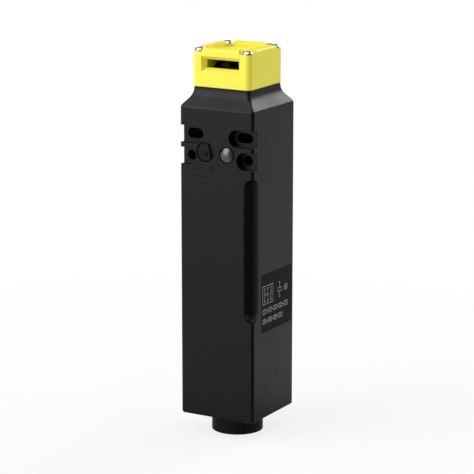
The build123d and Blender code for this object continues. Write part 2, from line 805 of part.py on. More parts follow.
# Contact levels. The door strips move down with the plunger, the lock strips up with the rod
chamber_floor = block_bottom + block_floor
chamber_ceiling = block_top - block_ceiling
contact_space = gap + 2 * button_height
door_carrier_top = chamber_ceiling - gap
door_upper_bridge = door_carrier_top - rod_socket_depth - bridge_socket_gap - bridge_thickness
door_lower_bridge = door_upper_bridge - bridge_spacing
door_carrier_bottom = door_lower_bridge - carrier_foot
lock_carrier_bottom = chamber_floor + gap
lock_lower_bridge = lock_carrier_bottom + rod_socket_depth + bridge_socket_gap
lock_carrier_top = chamber_ceiling - gap - lock_travel
lock_upper_bridge = lock_carrier_top - rod_socket_depth - bridge_socket_gap - bridge_thickness
fixed_strips = [
    (1, door_upper_bridge + bridge_thickness + contact_space, -1),
    (1, door_lower_bridge - spiral_rise - contact_space - strip_thickness, 1),
    (-1, lock_lower_bridge - contact_space - strip_thickness, 1),
    (-1, lock_upper_bridge + bridge_thickness + lock_travel + contact_space, -1),
]


def turned(centre, points):
    """Turn a closed outline of (radius, height) points about a vertical axis."""
    with BuildSketch(Plane.XZ.offset(-centre[1])) as outline:
        with BuildLine():
            Polyline(*[(centre[0] + r, z) for r, z in points], close=True)
        make_face()
    revolve(outline.sketch, axis=Axis((centre[0], centre[1], 0), (0, 0, 1)))


def carrier(centre, bottom, top, strip_levels):
    """Contact carrier: sockets for its rods, and a window for each moving strip."""
    with BuildSketch(Plane.XY.offset(bottom)) as block:
        with Locations(centre):
            RectangleRounded(carrier_width, carrier_depth, 0.6)
    extrude(block.sketch, amount=top - bottom)
    with BuildSketch(Plane.XY.offset(top)) as socket:
        with Locations(centre):
            Circle(rod_radius + seat_fit)
    extrude(socket.sketch, amount=-rod_socket_depth, mode=Mode.SUBTRACT)
    for level in strip_levels:
        with BuildSketch(Plane.XZ.offset(carrier_depth - centre[1])) as window:
            with Locations((centre[0], level + bridge_thickness / 2)):
                Rectangle(bridge_width + 2 * seat_fit, bridge_thickness + 2 * seat_fit)
        extrude(window.sketch, amount=-2 * carrier_depth, mode=Mode.SUBTRACT)


def bridge(centre, level, button_side):
    """Moving contact strip with a button at each end, above it (1) or below it (-1)."""
    with BuildSketch(Plane.XY.offset(level)) as strip:
        with Locations(centre):
            SlotOverall(2 * bridge_half_length, bridge_width, rotation=90)
    extrude(strip.sketch, amount=bridge_thickness)
    with BuildSketch(Plane.XY.offset(level + max(button_side, 0) * bridge_thickness)) as buttons:
        with Locations((centre[0], centre[1] - contact_y), (centre[0], centre[1] + contact_y)):
            Circle(button_radius)
    extrude(buttons.sketch, amount=button_side * button_height)


def coil_spring(centre, low, high, radius):
    """Compression spring between two heights."""
    pitch = (high - low - 2 * spring_wire) / spring_turns
    with BuildLine() as coil:
        Helix(pitch, pitch * spring_turns, radius, center=(centre[0], centre[1], low + spring_wire))
    with BuildSketch(Plane(origin=coil.line @ 0, z_dir=coil.line % 0)) as wire:
        RegularPolygon(spring_wire, wire_sides)
    sweep(wire.sketch, path=coil.line, is_frenet=True)


plunger_at = (rod_x, shaft_y)
lock_at = (lock_x, shaft_y)

# Operating plunger: rod with a narrow tip under the spiral lobe
with BuildPart() as operating_plunger:
    tip_radius = 0.8
    tip_drop = 0.27
    turned(plunger_at, [
        (0, door_carrier_top - rod_socket_depth),
        (rod_radius, door_carrier_top - rod_socket_depth),
        (rod_radius, plunger_tip_z - rod_radius + tip_drop),
        (tip_radius, plunger_tip_z - tip_drop),
        (tip_radius / 2, plunger_tip_z),
        (0, plunger_tip_z),
    ])
save(operating_plunger, "operating_plunger")

with BuildPart() as door_carrier:
    carrier(plunger_at, door_carrier_bottom, door_carrier_top, (door_upper_bridge, door_lower_bridge))
    with BuildSketch(Plane.XY.offset(door_carrier_bottom)):
        with Locations(plunger_at):
            Circle(thin_rod_radius)
    extrude(amount=-spring_pin_length)
save(door_carrier, "door_carrier")

with BuildPart() as door_bridges:
    bridge(plunger_at, door_upper_bridge, 1)
    bridge(plunger_at, door_lower_bridge, -1)
save(door_bridges, "door_bridges")

with BuildPart() as plunger_spring:
    coil_spring(plunger_at, chamber_floor, door_carrier_bottom, plunger_spring_radius)
save(plunger_spring, "plunger_spring")

# Lock rod: its flattened tip enters a notch of the cam's disc
with BuildPart() as lock_rod:
    with BuildSketch(Plane.XY.offset(lock_carrier_top - rod_socket_depth)):
        with Locations(lock_at):
            Circle(rod_radius)
    extrude(amount=lock_tip_z - lock_carrier_top + rod_socket_depth)
    with BuildSketch(Plane.XY.offset(lock_tip_z)):
        with Locations(lock_at):
            Rectangle(3 * rod_radius, 3 * rod_radius)
            Rectangle(4 * rod_radius, lock_tip_thickness, mode=Mode.SUBTRACT)
    extrude(amount=-lock_tip_length, mode=Mode.SUBTRACT)
save(lock_rod, "lock_rod")

with BuildPart() as release_arm:
    with BuildSketch(Plane.XY.offset(arm_top - arm_thickness)):
        with Locations((lock_x + arm_offset, (arm_front + arm_rear) / 2)):
            RectangleRounded(arm_width, arm_rear - arm_front, 1.0)
        with Locations(lock_at):
            Circle(rod_radius + seat_fit, mode=Mode.SUBTRACT)
    extrude(amount=arm_thickness)
save(release_arm, "release_arm")

with BuildPart() as lock_carrier:
    carrier(lock_at, lock_carrier_bottom, lock_carrier_top, (lock_upper_bridge, lock_lower_bridge))
    with BuildSketch(Plane.XY.offset(lock_carrier_bottom)):
        with Locations(lock_at):
            Circle(thin_rod_radius + seat_fit)
    extrude(amount=rod_socket_depth, mode=Mode.SUBTRACT)
save(lock_carrier, "lock_carrier")

with BuildPart() as lock_bridges:
    bridge(lock_at, lock_upper_bridge, 1)
    bridge(lock_at, lock_lower_bridge, -1)
save(lock_bridges, "lock_bridges")

# Switch block: two chambers side by side, closed by a front cover
with BuildPart() as switch_block_base:
    chamber_half = block_half_width - block_side
    with BuildSketch(Plane.XY.offset(block_bottom)):
        with Locations((0, (base_front + block_rear) / 2)):
            Rectangle(2 * block_half_width, block_rear - base_front)
    extrude(amount=block_height)
    with BuildSketch(Plane.XZ.offset(-base_front)):
        with Locations((0, (chamber_floor + chamber_ceiling) / 2)):
            Rectangle(2 * chamber_half, chamber_ceiling - chamber_floor)
            Rectangle(block_partition, chamber_ceiling - chamber_floor, mode=Mode.SUBTRACT)
    extrude(amount=base_front - chamber_rear_y, mode=Mode.SUBTRACT)
    with BuildSketch(Plane.XY.offset(block_top)):
        with Locations(plunger_at, lock_at):
            Circle(rod_radius + block_rod_clearance)
    extrude(amount=-block_ceiling, mode=Mode.SUBTRACT)
    with BuildSketch(Plane.XY.offset(block_bottom)):
        with Locations(lock_at):
            Circle(thin_rod_radius + block_rod_clearance)
    extrude(amount=block_floor, mode=Mode.SUBTRACT)
    for side, level, _ in fixed_strips:
        with BuildSketch(Plane.YZ.offset(side * block_half_width)):
            strip_ys = (shaft_y - contact_y, shaft_y + contact_y)
            with Locations(*[(y, level + strip_thickness / 2) for y in strip_ys]):
                Rectangle(bridge_width + 2 * seat_fit, strip_thickness + 2 * seat_fit)
        extrude(amount=-side * block_side, mode=Mode.SUBTRACT)
    with BuildSketch(Plane.YZ.offset(-block_half_width)):
        with Locations(*[(module_screw_y, z) for z in module_screw_z]):
            Circle(m3_radius + running_fit)
    extrude(amount=2 * block_half_width, mode=Mode.SUBTRACT)
save(switch_block_base, "switch_block_base")

with BuildPart() as switch_block_cover:
    with BuildSketch(Plane.XZ.offset(-block_front)):
        with Locations((0, (block_bottom + block_top) / 2)):
            RectangleRounded(2 * block_half_width, block_height, 1.0)
    extrude(amount=-block_cover_thickness)
    with BuildSketch(Plane.XZ.offset(-base_front)):
        half_middle_x = (chamber_half + block_partition / 2) / 2
        for side in (-1, 1):
            with Locations((side * half_middle_x, (chamber_floor + chamber_ceiling) / 2)):
                Rectangle(chamber_half - block_partition / 2 - 0.1, chamber_ceiling - chamber_floor - 0.1)
                Rectangle(chamber_half - block_partition / 2 - 1.7, chamber_ceiling - chamber_floor - 1.7,
                          mode=Mode.SUBTRACT)
    extrude(amount=-1.0)
save(switch_block_cover, "switch_block_cover")

with BuildPart() as fixed_contacts:
    for side, level, button_side in fixed_strips:
        strip_x = side * (rod_x - bridge_width / 2 + strip_reach / 2)
        for y in (shaft_y - contact_y, shaft_y + contact_y):
            with BuildSketch(Plane.XY.offset(level)):
                with Locations((strip_x, y)):
                    Rectangle(strip_reach, bridge_width)
            extrude(amount=strip_thickness)
            with BuildSketch(Plane.XY.offset(level + max(button_side, 0) * strip_thickness)):
                with Locations((side * rod_x, y)):
                    Circle(button_radius)
            extrude(amount=button_side * button_height)
save(fixed_contacts, "fixed_contacts")

with BuildPart() as module_screws:
    for z in module_screw_z:
        seat = Plane(origin=(-block_half_width, module_screw_y, z), x_dir=(0, 1, 0), z_dir=(-1, 0, 0))
        with Locations(seat):
            add(pan_screw(module_screw_length))
save(module_screws, "module_screws")

# Solenoid that lifts the lock rod
yoke_inner_bottom = yoke_bottom + yoke_plate
yoke_inner_top = block_bottom - yoke_plate
pole_bottom = block_bottom - pole_length
armature_top = pole_bottom - lock_travel - gap
armature_bottom = yoke_inner_bottom + tube_wall + armature_drop
armature_rod_bottom = armature_bottom + armature_base
tube_radius = armature_radius + 0.1 + tube_wall
bobbin_bore = tube_radius + running_fit

with BuildPart() as solenoid_yoke:
    with BuildSketch(Plane.XZ.offset(yoke_half_depth - shaft_y)):
        with Locations((lock_x, yoke_bottom + solenoid_height / 2)):
            Rectangle(2 * yoke_half_width, solenoid_height)
            Rectangle(2 * (yoke_half_width - yoke_side), solenoid_height - 2 * yoke_plate,
                      mode=Mode.SUBTRACT)
    extrude(amount=-2 * yoke_half_depth)
    fillet(solenoid_yoke.edges().filter_by(Axis.Y).group_by(SortBy.DISTANCE)[-1], 1.5)
    with BuildSketch(Plane.XY.offset(block_bottom)):
        with Locations(lock_at):
            Circle(pole_neck_radius + seat_fit)
    extrude(amount=-yoke_plate, mode=Mode.SUBTRACT)
save(solenoid_yoke, "solenoid_yoke")

with BuildPart() as solenoid_bobbin:
    core_radius = bobbin_bore + bobbin_wall
    flange_low = yoke_inner_bottom + bobbin_flange_thickness
    flange_high = yoke_inner_top - bobbin_flange_thickness
    turned(lock_at, [
        (bobbin_bore, yoke_inner_bottom), (bobbin_flange_radius, yoke_inner_bottom),
        (bobbin_flange_radius, flange_low), (core_radius, flange_low),
        (core_radius, flange_high), (bobbin_flange_radius, flange_high),
        (bobbin_flange_radius, yoke_inner_top), (bobbin_bore, yoke_inner_top),
    ])
save(solenoid_bobbin, "solenoid_bobbin")

with BuildPart() as solenoid_coil:
    turned(lock_at, [
        (core_radius + seat_fit, flange_low + seat_fit), (coil_radius, flange_low + seat_fit),
        (coil_radius, flange_high - seat_fit), (core_radius + seat_fit, flange_high - seat_fit),
    ])
save(solenoid_coil, "solenoid_coil")

with BuildPart() as solenoid_tube:
    turned(lock_at, [
        (0, yoke_inner_bottom), (tube_radius, yoke_inner_bottom), (tube_radius, yoke_inner_top),
        (tube_radius - tube_wall, yoke_inner_top), (tube_radius - tube_wall, yoke_inner_bottom + tube_wall),
        (0, yoke_inner_bottom + tube_wall),
    ])
save(solenoid_tube, "solenoid_tube")

with BuildPart() as solenoid_pole:
    spring_seat = armature_top + armature_spring_length
    spring_bore = armature_spring_radius + spring_wire + 0.25
    rod_bore = thin_rod_radius + 0.1
    pole_radius = tube_radius - tube_wall - seat_fit
    turned(lock_at, [
        (spring_bore, pole_bottom), (pole_radius, pole_bottom), (pole_radius, yoke_inner_top),
        (pole_neck_radius, yoke_inner_top), (pole_neck_radius, block_bottom), (rod_bore, block_bottom),
        (rod_bore, spring_seat), (spring_bore, spring_seat),
    ])
save(solenoid_pole, "solenoid_pole")

with BuildPart() as armature:
    turned(lock_at, [
        (0, armature_bottom), (armature_radius - 0.6, armature_bottom),
        (armature_radius, armature_bottom + 0.6), (armature_radius, armature_top),
        (thin_rod_radius + seat_fit, armature_top),
        (thin_rod_radius + seat_fit, armature_rod_bottom), (0, armature_rod_bottom),
    ])
save(armature, "armature")

with BuildPart() as armature_rod:
    with BuildSketch(Plane.XY.offset(armature_rod_bottom)):
        with Locations(lock_at):
            Circle(thin_rod_radius)
    extrude(amount=lock_carrier_bottom + rod_socket_depth - armature_rod_bottom)
save(armature_rod, "armature_rod")

with BuildPart() as armature_spring:
    coil_spring(lock_at, armature_top, spring_seat, armature_spring_radius)
save(armature_spring, "armature_spring")

# Manual release: dial with a half-moon grip, its seal, clip and crank
well_floor = -half + dial_well_depth
base_inner = well_floor - dial_gap
base_outer = base_inner - dial_base_height
base_radius = dial_well_radius - dial_ring_gap
clip_y = dial_bore_inner_y + 0.1
groove_y = (well_floor + dial_bore_inner_y) / 2


def ring_groove(y, width, radius):
    """Cut a groove into the dial's shaft, centred at y."""
    with BuildSketch(Plane.XZ.offset(-(y - width / 2))) as ring:
        with Locations((dial_x, dial_z)):
            Circle(dial_shaft_radius + 0.1)
            Circle(radius, mode=Mode.SUBTRACT)
    extrude(ring.sketch, amount=-width, mode=Mode.SUBTRACT)


with BuildPart() as release_dial:
    with BuildSketch(Plane.XZ.offset(-base_inner)):
        with Locations((dial_x, dial_z)):
            Circle(base_radius)
    extrude(amount=dial_base_height)
    with BuildSketch(Plane.XZ.offset(-base_outer)):
        tilt = math.radians(dial_tilt)
        cut_reach = dial_chord_offset + base_radius
        with Locations((dial_x, dial_z)):
            Circle(base_radius - dial_grip_inset)
        with Locations((dial_x + cut_reach * math.cos(tilt), dial_z + cut_reach * math.sin(tilt))):
            Rectangle(2 * base_radius, 4 * base_radius, rotation=dial_tilt, mode=Mode.SUBTRACT)
    extrude(amount=dial_grip_height)
    with BuildSketch(Plane.XZ.offset(-base_inner)):
        with Locations((dial_x, dial_z)):
            Circle(dial_shaft_radius)
    extrude(amount=base_inner - crank_y)
    with BuildSketch(Plane.XZ.offset(-crank_y)):
        with Locations((dial_x, dial_z)):
            Circle(dial_neck_radius)
    extrude(amount=-crank_thickness)
    ring_groove(groove_y, 2 * o_ring_radius + 0.2, dial_shaft_radius + running_fit - 2 * o_ring_radius)
    ring_groove(clip_y + clip_thickness / 2, clip_thickness, clip_groove_radius)
save(release_dial, "release_dial")

with BuildPart() as release_seal:
    ring_centre = dial_shaft_radius + running_fit - o_ring_radius
    with BuildSketch(Plane.XY.offset(dial_z)):
        with Locations((dial_x + ring_centre, groove_y)):
            RegularPolygon(o_ring_radius - 0.01, wire_sides)
    revolve(axis=Axis((dial_x, 0, dial_z), (0, 1, 0)))
save(release_seal, "release_seal")

with BuildPart() as release_clip:
    with BuildSketch(Plane.XZ.offset(-clip_y)):
        with Locations((dial_x, dial_z)):
            Circle(clip_radius)
            Circle(clip_groove_radius + seat_fit, mode=Mode.SUBTRACT)
        with Locations((dial_x, dial_z - clip_radius)):
            Rectangle(clip_opening, clip_radius, mode=Mode.SUBTRACT)
    extrude(amount=-clip_thickness)
save(release_clip, "release_clip")

with BuildPart() as release_crank:
    with BuildSketch(Plane.XZ.offset(-crank_y)):
        with Locations((dial_x, dial_z)):
            Circle(crank_radius)
            Circle(dial_neck_radius + seat_fit, mode=Mode.SUBTRACT)
    extrude(amount=-crank_thickness)
    pin_angle = math.radians(cam_turn)
    with BuildSketch(Plane.XZ.offset(-crank_y - crank_thickness)):
        with Locations((dial_x + crank_pin_orbit * math.sin(pin_angle), dial_z + crank_pin_orbit / 2)):
            Circle(crank_pin_radius)
    extrude(amount=-crank_pin_length)
save(release_crank, "release_crank")

# Lamp: lens with its gasket, diode and small board
flange_front = dial_bore_inner_y + lens_gasket_thickness
flange_rear = flange_front + lens_flange_thickness
with BuildPart() as indicator_lens:
    with BuildSketch(Plane.XY.offset(lamp_z)):
        with BuildLine():
            Polyline((lamp_x, flange_rear), (lamp_x + lens_flange_radius, flange_rear),
                     (lamp_x + lens_flange_radius, flange_front), (lamp_x + lens_radius, flange_front),
                     (lamp_x + lens_radius, -half))
            dome_bulge = (lens_radius**2 + lens_dome_height**2) / (2 * lens_dome_height)
            RadiusArc((lamp_x + lens_radius, -half), (lamp_x, -half - lens_dome_height), dome_bulge)
            Line((lamp_x, -half - lens_dome_height), (lamp_x, flange_rear))
        make_face()
    revolve(axis=Axis((lamp_x, 0, lamp_z), (0, 1, 0)))
save(indicator_lens, "indicator_lens")

with BuildPart() as indicator_gasket:
    with BuildSketch(Plane.XZ.offset(-dial_bore_inner_y)):
        with Locations((lamp_x, lamp_z)):
            Circle(lens_flange_radius)
            Circle(lens_radius + running_fit, mode=Mode.SUBTRACT)
    extrude(amount=-lens_gasket_thickness)
save(indicator_gasket, "indicator_gasket")

with BuildPart() as indicator_led:
    with BuildSketch(Plane.XZ.offset(-lamp_board_y)):
        with Locations((lamp_x, lamp_z)):
            Circle(led_radius)
    extrude(amount=led_length)
    fillet(indicator_led.faces().sort_by(Axis.Y)[0].edges(), led_radius * 0.7)
save(indicator_led, "indicator_led")

with BuildPart() as indicator_board:
    with BuildSketch(Plane.XZ.offset(-lamp_board_y)):
        with Locations((lamp_board_x, lamp_z)):
            RectangleRounded(lamp_board_width, lamp_board_height, 0.8)
    extrude(amount=-board_thickness)
save(indicator_board, "indicator_board")

# Circuit board on the +X wall, and the terminals on it
board_back = cavity_x1 - 0.1
board_front = board_back - board_thickness
board_y0 = terminal_block_y - board_width / 2
with BuildPart() as main_board:
    with BuildSketch(Plane.YZ.offset(board_front)):
        with BuildLine():
            Polyline((board_y0, board_bottom), (board_y0 + board_width, board_bottom),
                     (board_y0 + board_width, board_neck_z), (board_y0 + board_neck_width, board_neck_z),
                     (board_y0 + board_neck_width, board_top), (board_y0, board_top), close=True)
        make_face()
    extrude(amount=board_thickness)
save(main_board, "main_board")

terminal_front = board_front - terminal_block_depth
terminal_mid_z = terminal_block_bottom + terminal_block_height / 2
with BuildPart() as terminal_block:
    with BuildSketch(Plane.YZ.offset(terminal_front)):
        with Locations((terminal_block_y, terminal_mid_z)):
            Rectangle(terminal_block_width, terminal_block_height)
    extrude(amount=terminal_block_depth)
    with BuildSketch(Plane.YZ.offset(terminal_front)):
        with Locations((terminal_block_y, terminal_mid_z)):
            with GridLocations(terminal_pitch, terminal_row_pitch, terminal_columns, terminal_rows):
                Rectangle(clamp_size + 2 * seat_fit, clamp_size + 2 * seat_fit)
    extrude(amount=clamp_depth, mode=Mode.SUBTRACT)
    entry_x = terminal_front + clamp_depth - clamp_size / 2
    entry_length = (terminal_block_height - terminal_row_pitch - clamp_size) / 2
    terminal_block_top = terminal_block_bottom + terminal_block_height
    for level, direction in ((terminal_block_bottom, 1), (terminal_block_top, -1)):
        with BuildSketch(Plane.XY.offset(level)):
            with Locations((entry_x, terminal_block_y)):
                with GridLocations(0, terminal_pitch, 1, terminal_columns):
                    Rectangle(clamp_size - 1.2, clamp_size - 1.0)
        extrude(amount=direction * (entry_length + 0.1), mode=Mode.SUBTRACT)
save(terminal_block, "terminal_block")

cage_front = terminal_front + clamp_depth - clamp_cage_depth
with BuildPart() as terminal_clamps:
    with BuildSketch(Plane.YZ.offset(cage_front)):
        with Locations((terminal_block_y, terminal_mid_z)):
            with GridLocations(terminal_pitch, terminal_row_pitch, terminal_columns, terminal_rows):
                Rectangle(clamp_size, clamp_size)
    extrude(amount=clamp_cage_depth)
    for row in (-0.5, 0.5):
        with BuildSketch(Plane.XY.offset(terminal_mid_z + row * terminal_row_pitch)):
            with Locations((entry_x, terminal_block_y)):
                with GridLocations(0, terminal_pitch, 1, terminal_columns):
                    Rectangle(clamp_size - 2 * clamp_wall, clamp_size - 2 * clamp_wall)
        extrude(amount=clamp_size, both=True, mode=Mode.SUBTRACT)
    with BuildSketch(Plane.YZ.offset(cage_front)):
        with Locations((terminal_block_y, terminal_mid_z)):
            with GridLocations(terminal_pitch, terminal_row_pitch, terminal_columns, terminal_rows):
                Circle(terminal_screw_radius * 0.6 + seat_fit)
    extrude(amount=2 * clamp_wall, mode=Mode.SUBTRACT)
save(terminal_clamps, "terminal_clamps")

with BuildPart() as terminal_screws:
    with BuildSketch(Plane.YZ.offset(cage_front)):
        with Locations((terminal_block_y, terminal_mid_z)):
            with GridLocations(terminal_pitch, terminal_row_pitch, terminal_columns, terminal_rows):
                Circle(terminal_screw_radius)
    extrude(amount=-terminal_head_height)
    with BuildSketch(Plane.YZ.offset(cage_front)):
        with Locations((terminal_block_y, terminal_mid_z)):
            with GridLocations(terminal_pitch, terminal_row_pitch, terminal_columns, terminal_rows):
                Circle(terminal_screw_radius * 0.6)
    extrude(amount=terminal_shank_length)
    with BuildSketch(Plane.YZ.offset(cage_front - terminal_head_height)):
        with Locations((terminal_block_y, terminal_mid_z)):
            with GridLocations(terminal_pitch, terminal_row_pitch, terminal_columns, terminal_rows):
                Rectangle(2.1 * terminal_screw_radius, terminal_blade_width)
    extrude(amount=terminal_head_height / 2, mode=Mode.SUBTRACT)
save(terminal_screws, "terminal_screws")

# Wiring cover, flush in its rebate on the -X side
gasket_outer_x = -half + cover_depth - cover_gasket_thickness
with BuildPart() as wiring_cover_gasket:
    with BuildSketch(Plane.YZ.offset(gasket_outer_x)):
        with Locations((0, cover_mid_z)):
            RectangleRounded(cover_width - 0.3, cover_length - 0.3, cover_corner_radius)
            Rectangle(cover_opening_width, opening_height, mode=Mode.SUBTRACT)
            with GridLocations(2 * cover_screw_y, 2 * cover_screw_z, 2, 2):
                Circle(m3_clearance_radius, mode=Mode.SUBTRACT)
    extrude(amount=cover_gasket_thickness)
save(wiring_cover_gasket, "wiring_cover_gasket")

with BuildPart() as wiring_cover:
    with BuildSketch(Plane.YZ.offset(-half)):
        with Locations((0, cover_mid_z)):
            RectangleRounded(cover_width - 0.2, cover_length - 0.2, cover_corner_radius - 0.1)
    extrude(amount=cover_depth - cover_gasket_thickness)
    with BuildSketch(Plane.YZ.offset(gasket_outer_x)):
        with Locations((0, cover_mid_z)):
            Rectangle(cover_opening_width - gap, opening_height - gap)
            Rectangle(cover_opening_width - gap - 2 * cover_rim_width,
                      opening_height - gap - 2 * cover_rim_width, mode=Mode.SUBTRACT)
    extrude(amount=cover_rim_height)
    with BuildSketch(Plane.YZ.offset(-half)):
        with Locations((0, cover_mid_z)):
            with GridLocations(2 * cover_screw_y, 2 * cover_screw_z, 2, 2):
                Circle(m3_head_radius - 0.35)
    extrude(amount=cover_head_recess, mode=Mode.SUBTRACT)
    with BuildSketch(Plane.YZ.offset(-half)):
        with Locations((0, cover_mid_z)):
            with GridLocations(2 * cover_screw_y, 2 * cover_screw_z, 2, 2):
                Circle(m3_clearance_radius)
    extrude(amount=cover_depth, mode=Mode.SUBTRACT)
save(wiring_cover, "wiring_cover")

with BuildPart() as wiring_cover_screws:
    for y in (-cover_screw_y, cover_screw_y):
        for z in (cover_mid_z - cover_screw_z, cover_mid_z + cover_screw_z):
            seat = Plane(origin=(-half + cover_head_recess, y, z), x_dir=(0, 1, 0), z_dir=(-1, 0, 0))
            with Locations(seat):
                add(pan_screw(cover_screw_length, head_radius=m3_head_radius - 0.55,
                              head_height=m3_head_height - 0.1))
save(wiring_cover_screws, "wiring_cover_screws")
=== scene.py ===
"""Looks of the tongue interlock switch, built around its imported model.

Metres, the same frame as the solids: +Z up, the front with the tongue's slot faces -Y, and the
origin is the centre of the conduit entry's mouth.
"""

import json
import math

import bmesh
import bpy
from mathutils import Matrix, Vector


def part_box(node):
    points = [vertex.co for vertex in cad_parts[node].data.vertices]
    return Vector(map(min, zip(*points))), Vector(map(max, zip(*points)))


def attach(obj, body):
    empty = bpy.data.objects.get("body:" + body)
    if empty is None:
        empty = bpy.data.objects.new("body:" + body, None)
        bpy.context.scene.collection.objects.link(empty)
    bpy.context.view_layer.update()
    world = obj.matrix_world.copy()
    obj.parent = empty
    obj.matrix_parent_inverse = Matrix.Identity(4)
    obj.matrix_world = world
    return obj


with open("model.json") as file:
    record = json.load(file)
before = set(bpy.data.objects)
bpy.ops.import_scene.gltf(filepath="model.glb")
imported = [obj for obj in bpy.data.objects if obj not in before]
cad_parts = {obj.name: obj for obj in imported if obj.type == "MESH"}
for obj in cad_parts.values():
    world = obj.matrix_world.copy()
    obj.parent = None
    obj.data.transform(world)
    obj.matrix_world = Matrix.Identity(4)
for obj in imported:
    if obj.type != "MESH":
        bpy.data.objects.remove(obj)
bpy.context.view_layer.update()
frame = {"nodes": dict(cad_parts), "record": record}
MM = 0.001

# The photograph's camera: angles in degrees, lengths in metres, lens and sensor in millimetres
CAMERA_AZIMUTH = 30.21
CAMERA_ELEVATION = 13.14
CAMERA_DISTANCE = 1.1757
CAMERA_SIDE_OFFSET = -0.000257
CAMERA_TARGET_HEIGHT = 0.10287
CAMERA_LENS = 172.58
CAMERA_SENSOR = 36.0

# Softboxes: azimuth and elevation in degrees, distance, width and height in metres, power in watts
SOFTBOXES = {
    "key_front_left": (-34, 19, 1.8, 1.4, 1.3, 25),
    "top_left": (-52, 52, 1.6, 0.9, 0.8, 6),
    "overhead": (10, 84, 1.5, 1.0, 1.0, 7.5),
    "side_right": (112, 24, 1.7, 0.8, 1.0, 5),
    "back_right": (162, 30, 1.5, 0.7, 0.8, 11),
}
SOFTBOX_AIM_HEIGHT = 0.1

# Floor and surround, in metres and degrees. A ramp is from, to, the value at from and the value at to.
# It runs over the distance from the origin, the dark sector's over the cosine of the angle from its middle.
FLOOR_REACH = 5.0
FLOOR_COLOUR = (0.72, 0.72, 0.72)
SHADOW_FADE = (0.05, 0.45, 0.80, 1.0)
# Painted dark reflection: glossy faces see one sector of the floor dark, as a black card would give, while
# the camera sees it white
DARK_SECTOR_AZIMUTH = 70.0
DARK_SECTOR_TIP = (0.040, -0.020, 0.0)
DARK_SECTOR = (-0.10, 0.85, 0.95, 0.02)
# Painted shadow: what glossy faces see of the floor grows darker towards the switch, in place of its shadow
# there
PAINTED_FOOT_SHADOW = (0.02, 0.12, 0.30, 1.0)
SURROUND_LIGHT = 0.25

# How far flat marks, print and painted shade alike, stand off their face, in metres
MARK_LIFT = 0.012 * MM

# Least cosine of half a corner's turn that a mitre follows, and the font size of figures one unit high
MITRE_COSINE = 0.35
FIGURE_FONT_SIZE = 1.38

# Marks around the dial and on its grip, which leans by DIAL_TILT at rest: millimetres on the face, and
# degrees from the right, turning left
DIAL_TILT = 14.6
DIAL_STROKE = 0.28
PADLOCK_REACH = 9.6
PADLOCK_RISE = 0.6
PADLOCK_OPEN_ANGLE = -124
PADLOCK_SHUT_ANGLE = -64
PADLOCK_WIDTH = 2.6
PADLOCK_HEIGHT = 0.8 * PADLOCK_WIDTH
SHACKLE_RADIUS = 0.28 * PADLOCK_WIDTH
SHACKLE_TOP = 0.35 * PADLOCK_WIDTH
SHACKLE_END = 0.12 * PADLOCK_WIDTH
OPEN_SHACKLE_SHIFT = 0.62 * PADLOCK_WIDTH
OPEN_SHACKLE_GAP = 0.1
TRAVEL_ARC_REACH = 12.6
TRAVEL_ARC_START = -110
TRAVEL_ARC_END = -80
GRIP_ARROW = ((-0.9, -1.3), (1.3, -2.5), (0.8, -1.3), (1.3, -0.1))

# Raised floor of the step beside the grip, in millimetres, its depths taken from the grip's face
STEP_RADIUS = 4.55
STEP_CHORD = 2.45
STEP_BROKEN_EDGE = 0.12
STEP_TOP_DEPTH = 1.1
STEP_UNDERSIDE_DEPTH = 2.25
STEP_SEGMENTS = 20

# Print on the label, in millimetres: places from its left margin and from its middle line
LABEL_STROKE = 0.26
LABEL_MARGIN = 1.5
DIAGRAM_V = 4.2
TERMINAL_RADIUS = 0.4
CONTACTS_U = 5.6
CONTACTS_SIZE = (10.6, 9.4)
CONTACT_PITCH = 3.2
CONTACT_GAP = 1.0
CONTACT_LEAD_END = 2.9
CONTACT_TIE_INSET = 0.6
BLADE_TIP = 1.2
BLADE_LEAN_CLOSED = 0.15
BLADE_LEAN_OPEN = -0.95
BLADE_STOP_START = -0.1
BLADE_STOP_END = 0.8
COIL_U = 18.0
COIL_SIZE = (3.4, 2.0)
COIL_LEAD_END = 3.4
LAMP_U = 24.4
LAMP_RADIUS = 1.6
LAMP_CROSS = 1.1
NUMBERS_U = 2.2
NUMBER_PITCH = 5.6
NUMBER_BOX = (3.6, 2.2)
NUMBER_HEIGHT = 1.5
NUMBER_ROWS = ((-4.4, ("11", "12", "21", "22", "31")), (-9.6, ("41", "42", "51", "52")))

# Thread of the conduit entry, in millimetres: its ridge's depth from the wall, bite into the wall, and half
# widths at root and crest, with its steps a turn
THREAD_PITCH = 1.5
THREAD_DEPTH = 0.35
THREAD_BITE = 0.02
THREAD_ROOT_HALF = 0.62
THREAD_CREST_HALF = 0.1
THREAD_STEPS = 48


def vector_mm(*values):
    """Point or size given in millimetres."""
    return Vector(values) * MM


def direction(azimuth, elevation):
    """Unit vector out of the switch, turned from the front to the right and upwards, in degrees."""
    a, e = math.radians(azimuth), math.radians(elevation)
    return Vector((math.sin(a) * math.cos(e), -math.cos(a) * math.cos(e), math.sin(e)))


def set_inputs(node, **values):
    """Give a shader node's inputs their values, each space of an input's name written as _."""
    for key, value in values.items():
        node.inputs[key.replace("_", " ")].default_value = value


# Materials

